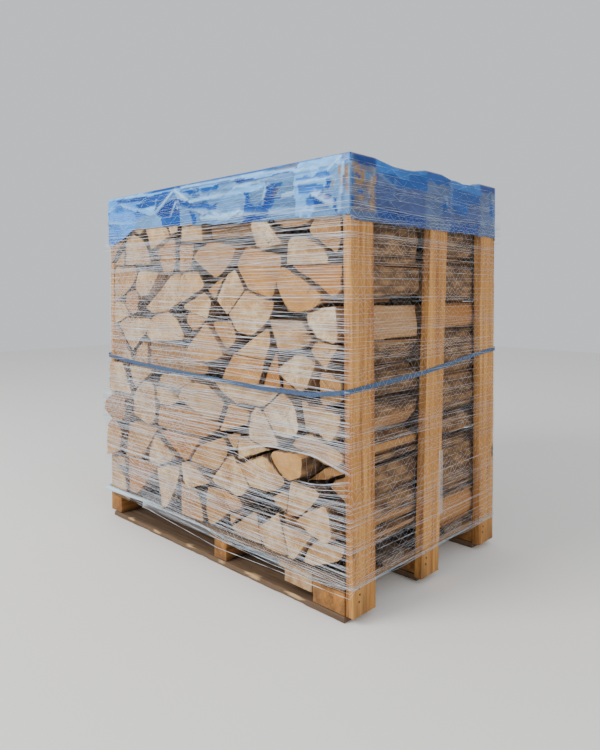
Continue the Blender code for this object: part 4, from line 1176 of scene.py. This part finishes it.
# %% [markdown]
# ## The net
#
# The net was stretched as it was wound, so it lies as nearly level strands some 6 to
# 20 mm apart. Later turns lie aslant over the first ones. Each strand is straight
# between what it touches, which is the convex hull, in plan, of what stands at its
# height. Finer yarns run to and fro between two strands. One log pokes through, and the
# strands there are pushed above or below it.

# %% Where a strand runs
NET_CLEAR = 1.8 * MM
FRONT_Y = -0.39                 # a point of a strand with a smaller y lies on the front
STRAND_STEP = 28 * MM
poking = course_logs["firewood_front_course_4_right"][0][2]
poke_low = Vector((min(p.x for p in poking), min(p.y for p in poking)))
poke_high = Vector((max(p.x for p in poking), max(p.y for p in poking)))
ends = []
for logs in course_logs.values():
    for y, side, outline in logs:
        if outline is not poking:
            xs, zs = [p.x for p in outline], [p.y for p in outline]
            ends.append((min(xs), max(xs), min(zs), max(zs), y))


def plan_hull(height, reach):
    """The line round everything within reach of one height, in plan."""
    spots = [(x, y) for x0, x1, z0, z1, y in ends if z0 - reach < height < z1 + reach for x in (x0, x1)]
    for node in board_names:
        low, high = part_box(node)
        if node.startswith("post") and low[2] < height + 0.1:
            spots += [(x, y) for x in (low[0], high[0]) for y in (low[1], high[1])]
        elif node.startswith("pallet") and height < 0.13:
            spots += [(x, y) for x in (low[0], high[0]) for y in (low[1], high[1])]
    if height + reach > front_hem[1].min():
        spots += [(x * (film_high.x + 4 * MM), y * (film_high.y + 4 * MM)) for x in (-1, 1) for y in (-1, 1)]
    roomy = [Vector((x + i, y + j)) for x, y in spots
             for i in (-NET_CLEAR, NET_CLEAR) for j in (-NET_CLEAR, NET_CLEAR)]
    hull = [roomy[index] for index in convex_hull_2d(roomy)]
    first = max(range(len(hull)), key=lambda index: 2 * hull[index].x + hull[index].y)
    return hull[first:] + hull[:first]


def round_poking_log(x, y, z):
    """A strand's height, pushed above or below the log that pokes through."""
    middle, half = (poke_low + poke_high) / 2, (poke_high - poke_low) / 2
    near = 1 - (abs(x - middle.x) - half.x) / (190 * MM)
    near = max(0.0, min(1.0, near)) if y < 0 else 0.0
    reach = 0.8 * half.y + 4 * MM
    offset = z - middle.y
    if near == 0 or abs(offset) > 2.4 * reach:
        return z
    pushed = middle.y + (1 if offset > 0 else -1) * (reach + abs(offset) * 1.4 / 2.4)
    return z + (pushed - z) * near * near * (3 - 2 * near)


def strand(height, slant=0.0, phase=0.0, dips=None):
    """One turn of the net, aslant by slant to each side. dips gives the height along the
    front as (x, z), in mm, for a strand that sags."""
    hull = plan_hull(height, slant + 8 * MM)
    points = []
    for here, there in zip(hull, hull[1:] + hull[:1]):
        steps = max(1, round((there - here).length / STRAND_STEP))
        for share in np.arange(steps) / steps:
            x, y = here.lerp(there, share)
            level = height + slant * sin(atan2(y, x) + phase)
            level += 9 * MM * noise.noise(Vector((x * 2.2, y * 2.2, height * 37 + phase)))
            if dips and y < FRONT_Y:
                level = np.interp(x / MM, *zip(*dips)) * MM
            points.append(Vector((x, y, round_poking_log(x, y, level))))
    return points


print("log ends under the net:", len(ends))

# %% The yarn tree
yarn_tree, given = new_tree("yarn", {"Geometry": "Geometry", "Thickness": "Float", "Sides": "Int",
                                     "Material": "Material"})
path = add(yarn_tree, "GeometryNodeMeshToCurve", {0: given["Geometry"]}).outputs[0]
size = add(yarn_tree, "GeometryNodeInputNamedAttribute", {0: "size"}, data_type="FLOAT").outputs[0]
half = add(yarn_tree, "ShaderNodeMath", {0: given["Thickness"], 1: 0.5}, operation="MULTIPLY").outputs[0]
section = add(yarn_tree, "GeometryNodeCurvePrimitiveCircle",
              {"Resolution": given["Sides"], "Radius": half}).outputs[0]
tube = add(yarn_tree, "GeometryNodeCurveToMesh",
           {"Curve": path, "Profile Curve": section, "Scale": size}).outputs[0]
smooth = add(yarn_tree, "GeometryNodeSetShadeSmooth", {0: tube}).outputs[0]
close_tree(yarn_tree, smooth, given["Material"])


def knitted_net(name, code):
    """Knitted polyethylene net: narrow flat tapes, white with a cold cast, half glossy."""
    material, _, shader, _ = start_material(name)
    shader.inputs["Base Color"].default_value = linear(code)
    shader.inputs["Roughness"].default_value = 0.38
    return material


def net_piece(name, rings, thickness, sides, closed, material, sizes=None, stands_for=()):
    """Yarns along some paths as one piece."""
    base = path_mesh(name, rings, closed)
    values = np.ones(len(base.vertices)) if sizes is None else np.array(sizes)
    base.attributes.new("size", "FLOAT", "POINT").data.foreach_set("value", values)
    mesh = grown(yarn_tree, name, {"Thickness": thickness * MM, "Sides": sides, "Material": material}, base)
    add_piece(name, mesh, stands_for)
    print(name, "faces:", len(mesh.polygons))


NET_WHITE = knitted_net("knitted_white_net", "#E4ECF5")
net_rng = np.random.default_rng(11)


def uneven(points, seed):
    """The size of a strand at each point: its tapes open and close, and are drawn thin at the ends."""
    swell = [noise.noise(Vector((point.x * 17, point.y * 17, seed))) for point in points]
    drawn = [0.32 if point.z > film_low.z + 60 * MM else 0.42 if abs(point.x) > 0.61 else 1.0
             for point in points]
    return [max(0.2, 0.8 + 1.6 * value) * thin for value, thin in zip(swell, drawn)]


SLANTED = 60
levels = [108.0]
while levels[-1] < 1242:
    levels.append(levels[-1] + net_rng.choice([6, 9, 13, 17, 22]))
wound = [strand(level * MM) for level in levels]
slants = net_rng.uniform((150, 8, 0), (1210, 34, 2 * pi), (SLANTED, 3))
aslant = [strand(level * MM, slant * MM, phase) for level, slant, phase in slants]
LOW_DIPS = (
    ((-632, 104), (-300, 82), (70, 59), (300, 70), (560, 79), (632, 82)),
    ((-632, 100), (-100, 92), (330, 84), (632, 96)),
    ((-632, 112), (-330, 104), (100, 88), (632, 108)),
)
low = [strand(100 * MM, dips=dips) for dips in LOW_DIPS]
strands = wound + aslant + low
strand_sizes = [size for number, ring in enumerate(strands) for size in uneven(ring, number * 1.7)]
net_piece("net_strands", strands, 1.15, 3, True, NET_WHITE, strand_sizes, ["stretch_net"])

# %% [markdown]
# Between the strands, more turns are drawn so thin that they only show as fine white
# lines. The photograph shows them on the front, so they are open lines over that side.

# %% The thin turns over the front
THIN_TURNS = 190
thin_levels = net_rng.uniform((122, 2, 0), (1105, 22, 2 * pi), (THIN_TURNS, 3))
turns = [strand(level * MM, slant * MM, phase) for level, slant, phase in thin_levels]
turns = [[point for point in ring if point.y < FRONT_Y] for ring in turns]
thin_sizes = [size for number, ring in enumerate(turns) for size in uneven(ring, number * 2.3 + 50)]
net_piece("net_thin_turns", turns, 0.75, 3, False, NET_WHITE, thin_sizes)

# %% The fine yarns between the strands
YARN_PITCH_MM = 34


def along_ring(ring, count, slide):
    """Points round a closed path, each slid along it by a share of their spacing."""
    loop = np.array([tuple(point) for point in ring + ring[:1]])
    gone = np.concatenate([[0], np.cumsum(np.linalg.norm(np.diff(loop, axis=0), axis=1))])
    at = (np.arange(count) + slide).clip(0) / count * gone[-1]
    return np.stack([np.interp(at, gone, loop[:, axis]) for axis in range(3)], axis=1)


def to_and_fro(lower, upper):
    """A yarn that runs between two strands, one point on each in turn."""
    length = sum((there - here).length for here, there in zip(lower, lower[1:]))
    pitch = YARN_PITCH_MM if lower[0].z < film_low.z + 40 * MM else 3 * YARN_PITCH_MM
    count = 2 * round(length / (pitch * MM))
    slide = net_rng.uniform(-0.35, 0.35, count)
    below, above = along_ring(lower, count, slide), along_ring(upper, count, slide)
    odd = (np.arange(count) % 2)[:, None]
    return [Vector(point) for point in below * (1 - odd) + above * odd]


def bunched(point):
    """The net was bunched at the front left, so its fine yarns show more there."""
    share = max(0.0, min(1.0, (-0.05 - point.x) / 0.35)) if point.y < -0.3 else 0.0
    thin = 0.7 if point.z > film_low.z + 40 * MM else 1.0
    return (0.7 + 0.6 * share) * thin * max(0.3, 0.9 + noise.noise(point * 13))


def front_left(lower, upper):
    """Extra yarns between two strands where the net was bunched, as an open zigzag."""
    count = round((HAZE_TO - HAZE_FROM) / HAZE_PITCH_MM)
    places = np.linspace(HAZE_FROM, HAZE_TO, count) + net_rng.uniform(-14, 14, count)
    points = []
    for number, x in enumerate(places * MM):
        ring = (lower, upper)[number % 2]
        front = [point for point in ring if point.y < -0.3]
        near = min(front, key=lambda point: abs(point.x - x))
        points.append(Vector((x, near.y, near.z + net_rng.uniform(-6, 6) * MM)))
    return points


HAZE_FROM, HAZE_TO, HAZE_PITCH_MM = -560, -40, 15
haze = [front_left(lower, upper) for lower, upper in zip(wound, wound[1:]) if lower[0].z < 1.05]
wisp_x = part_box("post_right_middle")[1][0] + NET_CLEAR
wisp = [[Vector((wisp_x, (28 + 3 * number + net_rng.uniform(-2, 2)) * MM, z * MM))
         for z in (195, 260, 330, 398)] for number in range(8)]
net_piece("net_bunched_yarns", haze + wisp, 0.55, 3, False, NET_WHITE)
yarns = [to_and_fro(lower, upper) for lower, upper in zip(wound, wound[1:])]
yarn_sizes = [bunched(point) for ring in yarns for point in ring]
net_piece("net_fine_yarns", yarns, 0.6, 3, True, NET_WHITE, yarn_sizes)

# %% [markdown]
# ## The gathered edge of the net
#
# The net's lower edge was pulled together by hand into a loose rope. It is thick at the
# front left corner and thins out towards the middle. Five yarns wind round one line,
# and both their distance from it and their own size follow the rope's thickness.

# %% The gathered edge
# Along the front: x, height of the rope's middle and its half thickness, all in mm
ROPE_LINE = (
    (-634, 108, 11), (-440, 111, 7), (-330, 116, 4), (-200, 113, 2.2), (-20, 107, 2.6), (100, 96, 1.8),
    (330, 93, 1.4), (480, 90, 1.8), (634, 104, 1.1),
)
ROPE_YARNS = 5
ROPE_PITCH_MM = 95


def rope_yarn(number):
    """One yarn of the rope, round all four sides, with its size at each point."""
    half_x, half_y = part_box("post_right_front")[1][0], -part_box("pallet_deck_board_1")[0][1]
    corners = [Vector((half_x * i, half_y * j)) for i, j in ((-1, -1), (1, -1), (1, 1), (-1, 1))]
    line = np.array(ROPE_LINE)
    points, sizes, gone = [], [], 0.0
    for here, there in zip(corners, corners[1:] + corners[:1]):
        out = Vector(((there - here).y, -(there - here).x)).normalized()
        steps = round((there - here).length / (12 * MM))
        for step in range(steps):
            spot = here.lerp(there, step / steps)
            gone += (there - here).length / steps
            place = spot.x / MM if out.y < -0.5 else np.interp(step / steps, (0, 1), (634, 700))
            level, thick = (np.interp(place, line[:, 0], line[:, part]) for part in (1, 2))
            if out.x < -0.5:
                thick = 1.1 + 9.9 * (step / steps) ** 3
                level = 100 + 8 * step / steps
            tight = max(0.0, min(1.0, (thick - 3) / 5))
            turn = 2 * pi * (number / ROPE_YARNS + gone / (ROPE_PITCH_MM * MM * (1 + 3 * (1 - tight))))
            swing = (thick * 0.5 * tight + (2 + number) * (1 - tight)) * MM
            centre = spot + out * max(swing, thick * MM)
            around = centre + out * cos(turn) * swing * tight
            points.append(Vector((*around, level * MM + sin(turn) * swing)))
            sizes.append(thick * (0.45 + 0.5 * tight))
    return points, sizes


rope = [rope_yarn(number) for number in range(ROPE_YARNS)]
rope_sizes = [size for _, sizes in rope for size in sizes]
net_piece("net_gathered_edge", [points for points, _ in rope], 1.0, 6, True,
          knitted_net("gathered_blue_white_net", "#C5DBE8"), rope_sizes)

# %% [markdown]
# ## Nails
#
# Each post is nailed to the pallet with wire nails. Their heads stand on the post's outer
# face. A node tree sets one small round head on each point and turns it outwards.

# %% The nails
nail_tree, given = new_tree("nail heads", {"Geometry": "Geometry", "Head": "Float", "Material": "Material"})
disc = add(nail_tree, "GeometryNodeMeshCylinder",
           {"Vertices": 12, "Radius": given["Head"], "Depth": 1.6 * MM})
turned = add(nail_tree, "GeometryNodeInstanceOnPoints",
             {"Points": given["Geometry"], "Instance": disc.outputs[0],
              "Rotation": (0, pi / 2, 0)}).outputs[0]
close_tree(nail_tree, turned, given["Material"])


def nail_places():
    """Three nails in the foot of each post, and two in its head."""
    for node in (name for name in board_names if name.startswith("post")):
        low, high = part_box(node)
        face = high[0] if high[0] > 0 else low[0]
        foot = min(vert.co.y for vert in nodes[node].data.vertices if vert.co.z < low[2] + 5 * MM)
        for along, height in ((24, 60), (27, 79), (23, 97), (30, 1215), (72, 1206)):
            yield Vector((face + (0.3 if face > 0 else -0.3) * MM, foot + along * MM, height * MM))


steel, _, shader, _ = start_material("drawn_steel_wire_nail")
shader.inputs["Base Color"].default_value = linear("#5E5650")
shader.inputs["Metallic"].default_value = 1.0
shader.inputs["Roughness"].default_value = 0.5
spots = list(nail_places())
nail_mesh = grown(nail_tree, "nails", {"Head": 2.6 * MM, "Material": steel},
                  path_mesh("spots", [[spot] for spot in spots], False))
add_piece("post_nails", nail_mesh)
print("nails:", len(spots))

# %% [markdown]
# ## Floor, light and camera
#
# A pale floor and soft studio light: one large lamp from the left of the front, as the
# shadows in the photograph ask for, a weak one for the end, and an even sky. The camera
# stands where the photograph was taken from, a little below the middle of the stack.

# %% Floor and light
bpy.ops.mesh.primitive_plane_add(size=16, location=(0, 0, -0.2 * MM))
floor = bpy.context.object
floor.name = "studio_floor"
floor_paint, _, shader, _ = start_material("matt_floor_paint")
shader.inputs["Base Color"].default_value = linear("#EFEDE9")
shader.inputs["Roughness"].default_value = 0.9
floor.data.materials.append(floor_paint)

world = bpy.data.worlds.new("even sky")
world.use_nodes = True
world.node_tree.nodes["Background"].inputs["Color"].default_value = linear("#EEF1F5")
world.node_tree.nodes["Background"].inputs["Strength"].default_value = 0.85
bpy.context.scene.world = world


def add_lamp(name, place, aim, size, power):
    """A square soft box, turned towards a point."""
    lamp = bpy.data.lights.new(name, "AREA")
    lamp.size, lamp.energy = size, power
    thing = bpy.data.objects.new(name, lamp)
    thing.location = place
    thing.rotation_euler = (Vector(aim) - Vector(place)).to_track_quat("-Z", "Y").to_euler()
    bpy.context.scene.collection.objects.link(thing)


add_lamp("key", (-1.6, -5.0, 3.6), (0, 0, 0.6), 3.0, 340)
add_lamp("end", (5.0, -1.0, 2.8), (0, 0, 0.6), 3.0, 80)
print("lamps: 2")

# %% The camera
CAMERA_PLACE = (1.679, -1.702, 0.898)
YAW, PITCH = 44.06, 1.06        # degrees to the left of the stack's depth, and down
camera = bpy.data.objects.new("camera", bpy.data.cameras.new("camera"))
camera.data.sensor_width = 36
camera.data.lens = 30.25
camera.data.shift_x = 0.005
camera.data.shift_y = -0.0955
camera.location = CAMERA_PLACE
camera.rotation_euler = (radians(90 - PITCH), 0, radians(YAW))
bpy.context.scene.collection.objects.link(camera)
bpy.context.scene.camera = camera
print("camera at", CAMERA_PLACE)
